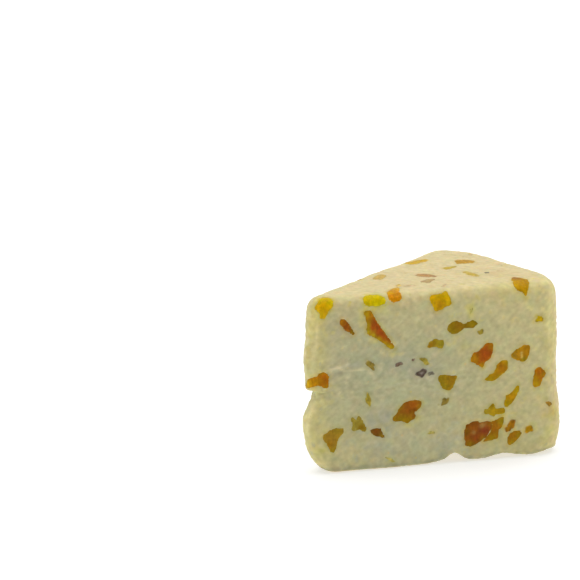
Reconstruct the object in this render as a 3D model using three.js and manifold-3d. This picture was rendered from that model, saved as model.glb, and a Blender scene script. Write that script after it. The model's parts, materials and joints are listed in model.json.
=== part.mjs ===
// A wedge of pale crumbly cheese with candied fruit set in it, cut from a low round wheel.
// Millimetres, +Z up. The front cut face looks along -Y, the tip is at -X and the rind at +X.
// The origin is the middle of the wedge's bounding box, on the surface it stands on.
// Places on the wedge are given from its sharp tip, where the two cut faces would meet.

import * as THREE from "three";
import { mergeVertices } from "three/addons/utils/BufferGeometryUtils.js";
import Module from "manifold-3d";

const wasm = await Module();
wasm.setup();

// Driving dimensions of the wheel and of the cut
const WHEEL_RADIUS = 100;
const WHEEL_HEIGHT = 63;
const WEDGE_ANGLE = THREE.MathUtils.degToRad(42);

// Rounding of the edges
const TIP_RADIUS = 4.6;
const RIND_CORNER_RADIUS = 7;
const TOP_EDGE_RADIUS = 4.4;
const FOOT_EDGE_RADIUS = 1.2;

// Fineness of the surface: points along each stretch of the outline, rows up the side between heights,
// rows over each rounded edge, and rings of the flat faces as fractions of the way to their middle
const FRONT_POINTS = 26;
const BACK_POINTS = 15;
const RIND_POINTS = 10;
const CORNER_POINTS = 4;
const TIP_POINTS = 5;
const SIDE_STRETCHES = [
  { to: 12, rows: 5 }, { to: 25, rows: 3 }, { to: 29.3, rows: 2 }, { to: 30.2, rows: 1 },
  { to: 32, rows: 1 }, { to: 58.6, rows: 4 },
];
const EDGE_ROWS = 3;
const FOOT_RINGS = [0.1, 0.28, 0.6];
const TOP_RINGS = [0.25, 0.6];

// How far along the wheel's radius the middle of the flat faces lies
const MIDDLE_REACH = 0.69;

// The rubbed lower corner of the tip, as a shift towards the rind that fades upwards and away from the tip
const TIP_REACH = 20;
const TIP_FOOT = { height: 10.5, depth: 7.2, power: 1.9 };

// Other wear up the tip: a notch under a piece of fruit, two bulges and the softened top
const TIP_WEAR = [
  { z: 29.4, above: 0.45, below: 5.6, depth: 3.1 },
  { z: 17.3, above: 5, below: 7, depth: -1.55 },
  { z: 41, above: 4, below: 7, depth: -0.9 },
  { z: 63, above: 4, below: 9, depth: 1.2 },
];

// Places on the sides that stand out or in: along the outline, up, and how far out
const SWELLS = [
  { along: 105, z: 11, wide: 12, tall: 12, out: 1.6 },
  { along: 105, z: 62, wide: 9, tall: 7, out: -0.9 },
  { along: 104, z: 1, wide: 8, tall: 4, out: -0.6 },
  { along: 60, z: 30, wide: 30, tall: 20, out: -0.5 },
  { along: 26, z: 46, wide: 12, tall: 10, out: 0.4 },
  { along: 30, z: 12, wide: 14, tall: 9, out: 0.6 },
  { along: 138, z: 30, wide: 22, tall: 18, out: 0.7 },
  { along: 205, z: 38, wide: 20, tall: 14, out: -0.5 },
  { along: 235, z: 16, wide: 16, tall: 10, out: 0.5 },
];

// Where the lower edge has crumbled away: along the outline, how wide and how high
const FOOT_CHIPS = [
  { along: 60.6, wide: 3.4, lift: 3.2 },
  { along: 55.5, wide: 3.2, lift: 0.5 },
  { along: 78.5, wide: 6, lift: 1.55 },
  { along: 97, wide: 6, lift: 1.3 },
  { along: 151, wide: 7, lift: 1.4 },
  { along: 214, wide: 6, lift: 1.8 },
];
const CHIP_DEEP = 7;
const CHIP_TALL = 6;

// The top is a little uneven, and the unevenness dies out down the sides
const TOP_WAVES = [
  { x: 78, y: 8, wide: 14, lift: 0.4 },
  { x: 86, y: 52, wide: 9, lift: 0.5 },
  { x: 95, y: 31, wide: 6, lift: -0.35 },
  { x: 100, y: 12, wide: 9, lift: 0.9 },
  { x: 55, y: 28, wide: 12, lift: -0.3 },
  { x: 40, y: 34, wide: 12, lift: 0.5 },
];
const WAVE_FADE = 6;

// Colours of the cheese and of the kinds of fruit
const FINISHES = {
  paste: { color: 0xe9e0c0, roughness: 0.62 },
  mango_yellow: { color: 0xe3b51e, roughness: 0.32 },
  mango_orange: { color: 0xd98a1e, roughness: 0.32 },
  mango_red: { color: 0xb05a24, roughness: 0.32 },
  mango_ochre: { color: 0xc99a25, roughness: 0.35 },
  ginger_olive: { color: 0xa38a34, roughness: 0.4 },
  ginger_tan: { color: 0xc79a6a, roughness: 0.4 },
};

// Fruit: the gap round each piece, how far its chunk is cut proud of the face, how it narrows inwards,
// how much of each corner is cut off and how far the corners wander, as fractions of the piece
const GAP = 0.3;
const PROUD = 3;
const INNER_SCALE = 0.8;
const FRUIT_DEPTH = { least: 3, most: 5.5, perWidth: 0.75 };
const CORNER_CUT = [0.1, 0.26];
const CORNER_WANDER = 0.08;
const SEED = 4207;

// Each piece is a small cut die: size is its length and its width at the near end, taper the far end's
// width as a share of that, and turn is in degrees. at is along the face from the sharp tip, and up.
// Some pieces are two dice in one.
// pitch puts a piece on the rounded top edge, leaning back by so many degrees, and at's second value is
// then how far over the edge it is moved. yaw turns a piece round the tip.
const FRONT_FRUIT = [
  {
    name: "yellow_corner", kind: "mango_yellow",
    at: [13.2, -0.4], pitch: 22, size: [7.6, 4], turn: 86, taper: 1.7,
  },
  {
    name: "lemon_bar", kind: "mango_yellow",
    at: [31, 0], pitch: 30, size: [7.4, 4.4], turn: 0, taper: 0.95,
  },
  {
    name: "orange_bead", kind: "mango_orange",
    at: [39.1, 1.2], pitch: 48, size: [6.4, 4.8], turn: 66, taper: 0.9,
  },
  { name: "ochre_square", kind: "mango_ochre", at: [54.8, 58.8], size: [6.8, 7], turn: 17, taper: 0.92 },
  {
    name: "ochre_wedge", kind: "mango_ochre",
    at: [85.3, 2], pitch: 48, size: [10.6, 3.6], turn: 92, taper: 1.6,
  },
  { name: "red_sliver", kind: "mango_red", at: [21, 52.7], size: [6.8, 2.6], turn: -47, taper: 0.6 },
  { name: "red_streak", kind: "mango_red", at: [32.5, 49.6], size: [16, 4.8], turn: -54, taper: 0.25 },
  {
    name: "olive_pair", kind: "ginger_olive", at: [60.3, 49.3], size: [7.2, 4.6], turn: 6, taper: 0.75,
    more: { by: [5, 1.2], size: [5, 2.8], turn: 16, taper: 0.9 },
  },
  { name: "olive_chip", kind: "ginger_olive", at: [52.9, 44.3], size: [5.4, 3.2], turn: 4, taper: 0.8 },
  { name: "red_chunk", kind: "mango_red", at: [70.3, 38.8], size: [9.4, 5.3], turn: 42, taper: 1.1 },
  { name: "amber_fan", kind: "mango_orange", at: [84.4, 37.6], size: [6.8, 2.7], turn: 2, taper: 2.3 },
  { name: "ochre_spindle", kind: "mango_ochre", at: [75.1, 32.2], size: [10.6, 2.6], turn: 38, taper: 1.6 },
  { name: "amber_block", kind: "mango_orange", at: [90.9, 29], size: [7.8, 3.6], turn: 78, taper: 1.25 },
  { name: "ochre_spear", kind: "mango_ochre", at: [81.1, 22.6], size: [8.8, 3.2], turn: 51, taper: 0.8 },
  {
    name: "olive_twin", kind: "ginger_olive", at: [73.3, 18.5], size: [4.6, 3.4], turn: 8, taper: 0.9,
    more: { by: [3.4, -0.3], size: [3.8, 2.4], turn: 24, taper: 0.8 },
  },
  {
    name: "olive_trapezoid", kind: "ginger_olive",
    at: [57.5, 30.5], size: [5.6, 4.6], turn: 90, taper: 1.6,
  },
  {
    name: "red_shard", kind: "mango_red", at: [44, 21.7], size: [9, 6], turn: 38, taper: 0.8,
    more: { by: [-2, -1.7], size: [8.4, 4.2], turn: 24, taper: 1 },
  },
  { name: "olive_ragged", kind: "ginger_olive", at: [25.4, 16.7], size: [5.4, 4.4], turn: -30, taper: 0.6 },
  { name: "brown_triangle", kind: "mango_red", at: [32.1, 13.9], size: [4.9, 3.6], turn: -12, taper: 0.4 },
  { name: "tan_lump", kind: "ginger_tan", at: [16.4, 13.1], size: [8.1, 4.2], turn: 62, taper: 1.3 },
  { name: "dark_chunk", kind: "mango_red", at: [67.6, 9.6], size: [8.2, 9.2], turn: 4, taper: 0.86 },
  { name: "amber_chunk", kind: "mango_orange", at: [75, 10.9], size: [5.4, 7.4], turn: -14, taper: 0.85 },
  { name: "amber_oval", kind: "mango_orange", at: [82.3, 7.6], size: [6, 4], turn: 40, taper: 0.8 },
  {
    name: "tip_chunk", kind: "mango_orange",
    at: [12.4, 34.5], yaw: 30, size: [4.8, 4.8], turn: 80, taper: 0.9,
    more: { by: [-4, -1.3], size: [5, 3.2], turn: 8, taper: 0.9 },
  },
];

// Fruit on the top: at is x and y from the sharp tip
const TOP_FRUIT = [
  { name: "orange_bar", kind: "mango_orange", at: [59.4, 44.4], size: [11.6, 5], turn: 24, taper: 0.8 },
  { name: "amber_bar", kind: "mango_orange", at: [76, 39.6], size: [8, 7], turn: -14, taper: 0.8 },
  { name: "yellow_sliver", kind: "mango_yellow", at: [68.6, 33.2], size: [6.4, 4.2], turn: 20, taper: 0.7 },
  { name: "straw_chip", kind: "mango_ochre", at: [72.4, 20.6], size: [10.4, 4], turn: -76, taper: 0.8 },
  { name: "rose_chip", kind: "ginger_tan", at: [57, 24.2], size: [8.4, 5], turn: -35, taper: 0.8 },
  { name: "tan_chip", kind: "ginger_tan", at: [55.2, 15.6], size: [6.8, 5], turn: 40, taper: 0.8 },
  { name: "ochre_chip", kind: "mango_ochre", at: [39.6, 24.8], size: [8.6, 4.4], turn: 56, taper: 0.8 },
];

// Fruit on the top edges that the front view hides
const BACK_EDGE_FRUIT = [
  {
    name: "edge_ochre", kind: "mango_ochre",
    at: [42, 0.5], pitch: 40, size: [7, 4.8], turn: 24, taper: 0.8,
  },
  {
    name: "edge_orange", kind: "mango_orange",
    at: [77, 0], pitch: 28, size: [6.2, 5], turn: -62, taper: 0.75,
  },
];
const RIND_EDGE_FRUIT = [
  {
    name: "edge_yellow", kind: "mango_yellow",
    at: [23, 0.4], pitch: 42, size: [6.4, 4.2], turn: 14, taper: 0.8,
  },
  {
    name: "edge_red", kind: "mango_red",
    at: [52, -0.4], pitch: 26, size: [7.4, 3.6], turn: 70, taper: 0.7,
  },
];

// Small flecks that show on the front cut face and on the top: the place, length, width and turn
const FRONT_FLECKS = [
  [69.4, 47.1, 2.2, 2, 0], [29.6, 38.4, 5, 1.8, -45], [39.6, 37.7, 3, 1.6, 8], [44.9, 38.9, 1.3, 1.1, 0],
  [49.2, 37.9, 3.8, 2, -35], [47.9, 33.8, 3.4, 3, 20], [51.2, 33.3, 1.8, 1.5, 0],
  [56.5, 22.4, 3.6, 1.8, 42], [28.2, 25.7, 5, 1.8, -76], [81, 12, 3.8, 2.2, 60],
  [87.8, 9.9, 3, 2.8, 80], [95, 18.9, 2.2, 1.5, -40], [91.1, 50.1, 2.8, 2.6, 0],
  [65.8, 55.2, 3, 1.8, 75], [80.1, 57, 2.8, 1.3, 85], [51.6, 11.7, 3, 1.5, -10],
  [36.6, 3.2, 4.6, 1.5, -30],
];
const TOP_FLECKS = [
  [81.4, 49, 2.4, 1.6, 70], [78.2, 20, 3, 1.6, 50], [83.6, 21.8, 2.4, 1.4, 0], [46.6, 10.4, 5, 2, 10],
  [58.4, 7.6, 4.2, 1.6, 65], [88, 30, 3, 1.8, 30], [42.8, 11.2, 3.2, 2, 50],
];

// A fleck is a pebble with few sides: how far it stands out of the face, and how much of it is sunk
const FLECK_HEIGHT = 0.4;
const FLECK_SUNK = 0.35;
const FLECK_SIDES = 6;
const FLECK_RINGS = 3;

// The faces that the front view hides are strewn with the same mix, fruit first and then flecks, within
// a rectangle of each face; the sizes are ranges, and width is a share of the length
const HIDDEN_FACES = [
  { face: "back", fruit: 12, flecks: 18, from: [17, 8], to: [91, 52], start: 0.35 },
  { face: "rind", fruit: 7, flecks: 9, from: [8, 9], to: [65, 51], start: 0.1 },
  { face: "foot", fruit: 4, flecks: 0, from: [50, 11], to: [86, 29], start: 0.62 },
];
const STREWN_FRUIT = { length: [5, 9.5], width: [0.5, 0.8] };
const STREWN_FLECK = { length: [1.8, 4], width: [0.45, 0.8] };
const STREWN_CLEARANCE = 1;
const STREWN_CLOSENESS = 0.42;
const KINDS = [
  "mango_orange", "ginger_olive", "mango_ochre", "mango_red", "mango_ochre", "ginger_tan", "mango_yellow",
];

// Numbers whose multiples, past the point, spread evenly over a square and over a line
const PLASTIC = 1.324717957244746;
const GOLDEN = 1.618033988749895;

const degrees = THREE.MathUtils.degToRad;
const bell = (distance, wide) => Math.exp(-((distance / wide) ** 2));
const sum = (list, value) => list.reduce((total, item) => total + value(item), 0);
const between = ([low, high], share) => low + (high - low) * share;

/** A seeded source of numbers from 0 to 1 (mulberry32). */
function seededDraws(seed) {
  let state = seed >>> 0;
  return () => {
    state = (state + 0x6d2b79f5) >>> 0;
    let t = state;
    t = Math.imul(t ^ (t >>> 15), t | 1);
    t ^= t + Math.imul(t ^ (t >>> 7), t | 61);
    return ((t ^ (t >>> 14)) >>> 0) / 2 ** 32;
  };
}

const draw = seededDraws(SEED);

// Outline of the wedge seen from above: two straight cuts and the rind's arc, joined by small arcs

/** Points along an arc, each with its outward direction; its last point is left to the next stretch. */
function arcStretch([x, y], radius, from, to, count) {
  return Array.from({ length: count }, (_, i) => {
    const angle = from + ((to - from) * i) / count;
    const [outX, outY] = [Math.cos(angle), Math.sin(angle)];
    return { x: x + radius * outX, y: y + radius * outY, outX, outY };
  });
}

/** Points along a straight stretch, again without its last point. */
function straightStretch(start, end, count) {
  const [dx, dy] = [end[0] - start[0], end[1] - start[1]];
  const length = Math.hypot(dx, dy);
  return Array.from({ length: count }, (_, i) => {
    const t = i / count;
    return { x: start[0] + dx * t, y: start[1] + dy * t, outX: dy / length, outY: -dx / length };
  });
}

/** The whole outline, anticlockwise from where the front cut face begins, with the length run along it. */
function wedgeOutline() {
  const polar = (radius, angle) => [radius * Math.cos(angle), radius * Math.sin(angle)];
  const half = WEDGE_ANGLE / 2;
  const quarter = Math.PI / 2;
  const backQuarter = WEDGE_ANGLE + quarter;
  const tipRun = TIP_RADIUS / Math.tan(half);
  const tipCentre = polar(TIP_RADIUS / Math.sin(half), half);
  const cornerReach = WHEEL_RADIUS - RIND_CORNER_RADIUS;
  const frontCorner = Math.asin(RIND_CORNER_RADIUS / cornerReach);
  const backCorner = WEDGE_ANGLE - frontCorner;
  const cornerRun = cornerReach * Math.cos(frontCorner);
  const frontCentre = polar(cornerReach, frontCorner);
  const backCentre = polar(cornerReach, backCorner);
  const points = [
    ...straightStretch([tipRun, 0], [cornerRun, 0], FRONT_POINTS),
    ...arcStretch(frontCentre, RIND_CORNER_RADIUS, -quarter, frontCorner, CORNER_POINTS),
    ...arcStretch([0, 0], WHEEL_RADIUS, frontCorner, backCorner, RIND_POINTS),
    ...arcStretch(backCentre, RIND_CORNER_RADIUS, backCorner, backQuarter, CORNER_POINTS),
    ...straightStretch(polar(cornerRun, WEDGE_ANGLE), polar(tipRun, WEDGE_ANGLE), BACK_POINTS),
    ...arcStretch(tipCentre, TIP_RADIUS, backQuarter, 3 * quarter, TIP_POINTS),
  ];
  let along = tipRun;
  points.forEach((point, i) => {
    if (i > 0) along += Math.hypot(point.x - points[i - 1].x, point.y - points[i - 1].y);
    point.along = along;
  });
  return points;
}

// Wear and unevenness, as shifts of the plain wedge's surface

/** How far the rounded edges draw the outline in at a height. */
function edgeInset(z) {
  const top = Math.max(0, z - (WHEEL_HEIGHT - TOP_EDGE_RADIUS));
  const foot = Math.max(0, FOOT_EDGE_RADIUS - z);
  const drawnIn = (radius, over) => radius - Math.sqrt(radius ** 2 - over ** 2);
  return drawnIn(TOP_EDGE_RADIUS, top) + drawnIn(FOOT_EDGE_RADIUS, foot);
}

/** How far the tip is worn back towards the rind at a height. */
function tipWear(z) {
  const rubbed = TIP_FOOT.depth * Math.max(0, 1 - z / TIP_FOOT.height) ** TIP_FOOT.power;
  const worn = (wear) => wear.depth * bell(z - wear.z, z > wear.z ? wear.above : wear.below);
  return rubbed + sum(TIP_WEAR, worn);
}

/** The surface point of an outline point at a height; ring draws it in towards a flat face's middle. */
function surfacePoint(point, z, ring) {
  const inset = edgeInset(z);
  const reach = WHEEL_RADIUS * MIDDLE_REACH;
  const half = WEDGE_ANGLE / 2;
  const middle = new THREE.Vector3(reach * Math.cos(half), reach * Math.sin(half), z);
  const spot = new THREE.Vector3(point.x - point.outX * inset, point.y - point.outY * inset, z);
  const inward = ring * spot.distanceTo(middle);
  spot.lerp(middle, ring);

  const swell = sum(SWELLS, ({ along, z: height, wide, tall, out }) =>
    out * bell(point.along - along, wide) * bell(z - height, tall));
  const out = swell * bell(inward, TOP_EDGE_RADIUS);
  spot.x += point.outX * out + tipWear(z) * bell(Math.hypot(spot.x, spot.y), TIP_REACH);
  spot.y += point.outY * out;

  const chip = sum(FOOT_CHIPS, ({ along, wide, lift }) => lift * bell(point.along - along, wide));
  const wave = sum(TOP_WAVES, ({ x, y, wide, lift }) =>
    lift * bell(Math.hypot(spot.x - x, spot.y - y), wide));
  spot.z += chip * bell(z, CHIP_TALL) * bell(inward, CHIP_DEEP) + wave * (z / WHEEL_HEIGHT) ** WAVE_FADE;
  return spot;
}

/** Heights and rings of the rows, from the middle of the underside to the middle of the top. */
function surfaceRows() {
  const rows = [1, ...FOOT_RINGS.toReversed()].map((ring) => ({ z: 0, ring }));
  const turn = (i) => (i * Math.PI) / 2 / EDGE_ROWS;
  for (let i = 0; i < EDGE_ROWS; i++) rows.push({ z: FOOT_EDGE_RADIUS * (1 - Math.cos(turn(i))), ring: 0 });
  let from = FOOT_EDGE_RADIUS;
  for (const stretch of SIDE_STRETCHES) {
    for (let i = 0; i < stretch.rows; i++) {
      rows.push({ z: between([from, stretch.to], i / stretch.rows), ring: 0 });
    }
    from = stretch.to;
  }
  for (let i = 0; i <= EDGE_ROWS; i++) {
    rows.push({ z: WHEEL_HEIGHT - TOP_EDGE_RADIUS * (1 - Math.sin(turn(i))), ring: 0 });
  }
  return rows.concat([...TOP_RINGS, 1].map((ring) => ({ z: WHEEL_HEIGHT, ring })));
}

/** The wedge without its fruit: a lathe whose rings are drawn out to the wedge's outline. */
function wedgeGeometry() {
  const outline = wedgeOutline();
  const rows = surfaceRows();
  const profile = rows.map(({ z, ring }) => new THREE.Vector2(1 - ring, z));
  const lathe = new THREE.LatheGeometry(profile, outline.length);
  for (let column = 0; column <= outline.length; column++) {
    const point = outline[column % outline.length];
    rows.forEach(({ z, ring }, row) => {
      const spot = surfacePoint(point, z, ring);
      lathe.attributes.position.setXYZ(column * rows.length + row, spot.x, spot.y, spot.z);
    });
  }
  return lathe;
}

// Solids in and out of the cutting library

/** A closed solid of a geometry, with its shared points merged and its faces turned outwards. */
function solidOf(geometry) {
  const bare = geometry.clone();
  bare.deleteAttribute("normal");
  bare.deleteAttribute("uv");
  const merged = mergeVertices(bare, 1e-4);
  const index = merged.index.array;
  const solidFacing = (first, second) => {
    const order = [];
    for (let i = 0; i < index.length; i += 3) {
      const [a, b, c] = [index[i], index[i + first], index[i + second]];
      if (a !== b && b !== c && c !== a) order.push(a, b, c);
    }
    return new wasm.Manifold(new wasm.Mesh({
      numProp: 3,
      vertProperties: new Float32Array(merged.attributes.position.array),
      triVerts: new Uint32Array(order),
    }));
  };
  const solid = solidFacing(1, 2);
  return solid.volume() > 0 ? solid : solidFacing(2, 1);
}

/** The geometry of a solid. */
function geometryOf(solid) {
  const mesh = solid.getMesh();
  const geometry = new THREE.BufferGeometry();
  geometry.setAttribute("position", new THREE.BufferAttribute(new Float32Array(mesh.vertProperties), 3));
  geometry.setIndex(new THREE.BufferAttribute(new Uint32Array(mesh.triVerts), 1));
  geometry.computeVertexNormals();
  return geometry;
}

/** The largest of a solid's loose bodies, so that a scrap cut off by its neighbours is dropped. */
function mainBody(solid) {
  return solid.decompose().sort((a, b) => b.volume() - a.volume())[0];
}

// Places on the faces

/** The sides of the wedge: each gives the point at the foot of a face and the direction out of it. */
const SIDES = {
  front: (a) => [new THREE.Vector3(a, 0, 0), new THREE.Vector3(0, -1, 0)],
  back: (a) => {
    const run = new THREE.Vector3(Math.cos(WEDGE_ANGLE), Math.sin(WEDGE_ANGLE), 0);
    return [run.clone().multiplyScalar(a), new THREE.Vector3(-run.y, run.x, 0)];
  },
  rind: (a) => {
    const out = new THREE.Vector3(Math.cos(a / WHEEL_RADIUS), Math.sin(a / WHEEL_RADIUS), 0);
    return [out.clone().multiplyScalar(WHEEL_RADIUS), out];
  },
};

/** A frame whose x runs to the right along a face, y up it and z out of it. */
function placeOnFace(face, [a, b], { pitch, yaw = 0 } = {}) {
  const up = new THREE.Vector3(0, 0, 1);
  const frame = new THREE.Matrix4();
  if (!(face in SIDES)) {
    const flip = face === "top" ? 1 : -1;
    const across = new THREE.Vector3(flip, 0, 0);
    const ahead = new THREE.Vector3(0, 1, 0);
    frame.makeBasis(across, ahead, up.multiplyScalar(flip));
    return frame.setPosition(a, b, face === "top" ? WHEEL_HEIGHT : 0);
  }
  const [spot, out] = SIDES[face](a);
  out.applyAxisAngle(up, -degrees(yaw));
  const across = new THREE.Vector3().crossVectors(up, out);
  if (pitch === undefined) return frame.makeBasis(across, up, out).setPosition(spot.setZ(b));
  const edge = spot.addScaledVector(out, -TOP_EDGE_RADIUS).setZ(WHEEL_HEIGHT - TOP_EDGE_RADIUS);
  out.applyAxisAngle(across, -degrees(pitch));
  up.crossVectors(out, across);
  edge.addScaledVector(out, TOP_EDGE_RADIUS).addScaledVector(up, b);
  return frame.makeBasis(across, up, out).setPosition(edge);
}

// Fruit and flecks

/** The outline of a die with its corners cut off; grown moves the sides out. */
function dieOutline(die, corners, grown) {
  const { size: [length, width], taper, turn, by = [0, 0] } = die;
  const [half, near, far] = [length / 2 + grown, width / 2 + grown, (width * taper) / 2 + grown];
  const ends = [[-half, -near], [half, -far], [half, far], [-half, near]].map(([x, y], i) =>
    new THREE.Vector2(x + corners[i].x * length, y + corners[i].y * width));
  const points = ends.flatMap((end, i) => [
    end.clone().lerp(ends[(i + 3) % 4], corners[i].cut),
    end.clone().lerp(ends[(i + 1) % 4], corners[i].cut),
  ]);
  const centre = new THREE.Vector2();
  return points.map((point) => point.rotateAround(centre, degrees(turn)).add(new THREE.Vector2(...by)));
}

/** A chunk through the face: the die's outline carried from inside the cheese to proud of its face. */
function chunk(die, corners, depth, frame, grown) {
  const deep = depth + grown;
  const shape = new THREE.Shape(dieOutline(die, corners, grown));
  const geometry = new THREE.ExtrudeGeometry(shape, { depth: deep + PROUD, bevelEnabled: false, steps: 1 });
  geometry.translate(0, 0, -deep);
  const { position } = geometry.attributes;
  const [x, y] = die.by ?? [0, 0];
  for (let i = 0; i < position.count; i++) {
    if (position.getZ(i) > 0) continue;
    position.setX(i, x + (position.getX(i) - x) * INNER_SCALE);
    position.setY(i, y + (position.getY(i) - y) * INNER_SCALE);
  }
  return solidOf(geometry.applyMatrix4(frame));
}

/** The chunk of one piece of fruit, and the larger chunk that its pocket is cut with. */
function fruitChunks(piece) {
  const frame = placeOnFace(piece.face, piece.at, piece);
  const dice = piece.more ? [piece, piece.more] : [piece];
  const wander = () => (2 * draw() - 1) * CORNER_WANDER;
  const corners = dice.map(() =>
    Array.from({ length: 4 }, () => ({ x: wander(), y: wander(), cut: between(CORNER_CUT, draw()) })));
  const { least, most, perWidth } = FRUIT_DEPTH;
  const depth = THREE.MathUtils.clamp(perWidth * piece.size[1], least, most);
  const joined = (grown) =>
    dice.map((die, i) => chunk(die, corners[i], depth, frame, grown)).reduce((a, b) => a.add(b));
  return { body: joined(0), pocket: joined(GAP) };
}

/** A fleck: a low pebble partly sunk in the face. */
function fleckSolid({ face, at, size, turn }) {
  const pebble = new THREE.SphereGeometry(1, FLECK_SIDES, FLECK_RINGS);
  pebble.rotateX(Math.PI / 2);
  pebble.translate(0, 0, -FLECK_SUNK);
  pebble.scale(size[0] / 2, size[1] / 2, FLECK_HEIGHT / (1 - FLECK_SUNK));
  pebble.rotateZ(degrees(turn));
  return solidOf(pebble.applyMatrix4(placeOnFace(face, at)));
}

/** Fruit and flecks strewn over a hidden face, each kept only where it is clear of those before it. */
function strewn({ face, fruit, flecks, from, to, start }) {
  const kept = [];
  for (let i = 1; kept.length < fruit + flecks; i++) {
    const share = (step) => (start + i * step) % 1;
    const sizes = kept.length < fruit ? STREWN_FRUIT : STREWN_FLECK;
    const length = between(sizes.length, share(1 / GOLDEN));
    const piece = {
      face,
      name: String(kept.length + 1).padStart(2, "0"),
      kind: KINDS[i % KINDS.length],
      at: [1, 2].map((k) => between([from[k - 1], to[k - 1]], share(1 / PLASTIC ** k))),
      size: [length, length * between(sizes.width, share(1 / GOLDEN ** 3))],
      turn: between([-90, 90], share(1 / GOLDEN ** 2)),
      taper: between([0.5, 1], share(1 / PLASTIC ** 3)),
    };
    const clear = kept.every((other) =>
      Math.hypot(piece.at[0] - other.at[0], piece.at[1] - other.at[1]) >
      (length + other.size[0]) * STREWN_CLOSENESS + STREWN_CLEARANCE);
    if (clear) kept.push(piece);
  }
  return { fruit: kept.slice(0, fruit), flecks: kept.slice(fruit) };
}

// The wedge: every fleck and pocket goes into the cheese, and each piece of fruit is its own mesh

const onFace = (face, pieces) => pieces.map((piece) => ({ ...piece, face }));
const flecksOn = (face, rows) =>
  rows.map(([a, b, length, width, turn]) => ({ face, at: [a, b], size: [length, width], turn }));
const hidden = HIDDEN_FACES.map(strewn);
const fruit = [
  ...onFace("front", FRONT_FRUIT),
  ...onFace("top", TOP_FRUIT),
  ...onFace("back", BACK_EDGE_FRUIT),
  ...onFace("rind", RIND_EDGE_FRUIT),
  ...hidden.flatMap((strew) => strew.fruit),
];
const flecks = [
  ...flecksOn("front", FRONT_FLECKS),
  ...flecksOn("top", TOP_FLECKS),
  ...hidden.flatMap((strew) => strew.flecks),
];

const wedge = new THREE.Group();

/** Adds a solid to the wedge as a named mesh. */
function addMesh(name, solid, kind) {
  const material = new THREE.MeshStandardMaterial({ ...FINISHES[kind], metalness: 0 });
  const mesh = new THREE.Mesh(geometryOf(solid), material);
  mesh.name = name;
  wedge.add(mesh);
}

const plainWedge = solidOf(wedgeGeometry());
const pockets = [];
for (const piece of fruit) {
  const { body, pocket } = fruitChunks(piece);
  const free = pockets.reduce((left, other) => left.subtract(other), body);
  addMesh(`${piece.face}_${piece.name}`, mainBody(free.intersect(plainWedge)), piece.kind);
  pockets.push(pocket);
}
const flecked = flecks.reduce((left, fleck) => left.add(fleckSolid(fleck)), plainWedge);
addMesh("cheese", mainBody(pockets.reduce((left, pocket) => left.subtract(pocket), flecked)), "paste");

const box = new THREE.Box3().setFromObject(wedge);
const centre = box.getCenter(new THREE.Vector3());
wedge.position.set(-centre.x, -centre.y, -box.min.z);

export default wedge;
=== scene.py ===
"""A wedge of pale crumbly cheese with candied fruit in it, dressed for close looks.

Shapes are worked out in millimetres from the wedge's sharp tip, where the two cut faces would meet, with
x along the front cut face and z up, and are carried into the row frame in metres when a mesh is made.
"""

import json
import logging
import math
from dataclasses import dataclass, field
from enum import Enum

import bpy
import numpy as np
from mathutils import Euler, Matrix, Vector


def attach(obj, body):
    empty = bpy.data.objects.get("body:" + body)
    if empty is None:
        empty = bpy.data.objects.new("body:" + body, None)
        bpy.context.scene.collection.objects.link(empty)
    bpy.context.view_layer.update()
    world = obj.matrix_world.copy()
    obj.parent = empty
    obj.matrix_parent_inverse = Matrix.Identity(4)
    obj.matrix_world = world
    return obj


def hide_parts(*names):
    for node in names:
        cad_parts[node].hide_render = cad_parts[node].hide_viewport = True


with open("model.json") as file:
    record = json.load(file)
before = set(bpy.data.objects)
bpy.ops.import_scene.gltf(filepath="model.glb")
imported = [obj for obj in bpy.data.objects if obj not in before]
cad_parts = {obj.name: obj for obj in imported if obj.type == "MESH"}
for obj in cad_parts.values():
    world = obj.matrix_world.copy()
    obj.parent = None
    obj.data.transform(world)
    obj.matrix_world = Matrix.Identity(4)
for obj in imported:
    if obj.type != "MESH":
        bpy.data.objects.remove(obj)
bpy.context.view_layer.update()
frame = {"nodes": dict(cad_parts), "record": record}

LOG = logging.getLogger("cheese wedge")
Array = np.ndarray
Colour = tuple[float, float, float]
Rows = tuple[tuple[float, ...], ...]

# Where the sharp tip lies in the row frame, in millimetres
TIP_PLACE = np.array([-53.699, -31.702, 0.0])
MM = 0.001
FULL_TURN = 2 * math.pi

# The row of the grid, on the sides, on which the outline's closing step is measured
SIDE_ROW = 60
# The last stretch of the outline, before the front face, has its run counted back from 0
COUNTED_BACK = 8.0
# Points below this height rest on the floor
ON_FLOOR = 0.01
# A point faces a patch if its direction agrees with the patch's by this much
FACING = 0.15
# A patch lies level if its direction out is this upright
UPRIGHT = 0.9
# Guards against dividing by nothing, and the slack at the ends of a side
NEXT_TO_NOTHING = 1e-9
SLACK = 1e-6
# The second bell that heights are weighted by: its weight, and how many times it is wider
FAR_WEIGHT = 1e-12
FAR_WIDER = 4

# Places drawn on the front face are told a little too close to its middle, and are spread by this much
DRAWN_MIDDLE = np.array([51.0, 38.0])
DRAWN_SPREAD = 1.013


class Slot(Enum):
    """The record's material slots."""

    PASTE = "paste"
    YELLOW = "mango_yellow"
    ORANGE = "mango_orange"
    RED = "mango_red"
    OCHRE = "mango_ochre"
    OLIVE = "ginger_olive"
    TAN = "ginger_tan"


class Face(Enum):
    """The faces of the wedge that things are strewn over."""

    FRONT = "front"
    BACK = "back"
    RIND = "rind"
    TOP = "top"


def bell(distance: Array | float, wide: Array | float) -> Array:
    """A bump that is 1 at no distance and has died out by twice its width."""
    return np.exp(-((distance / wide) ** 2))


def smooth_step(value: Array) -> Array:
    """Rises from 0 to 1 as value does, with level ends."""
    clipped = np.clip(value, 0, 1)
    return clipped * clipped * (3 - 2 * clipped)


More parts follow.
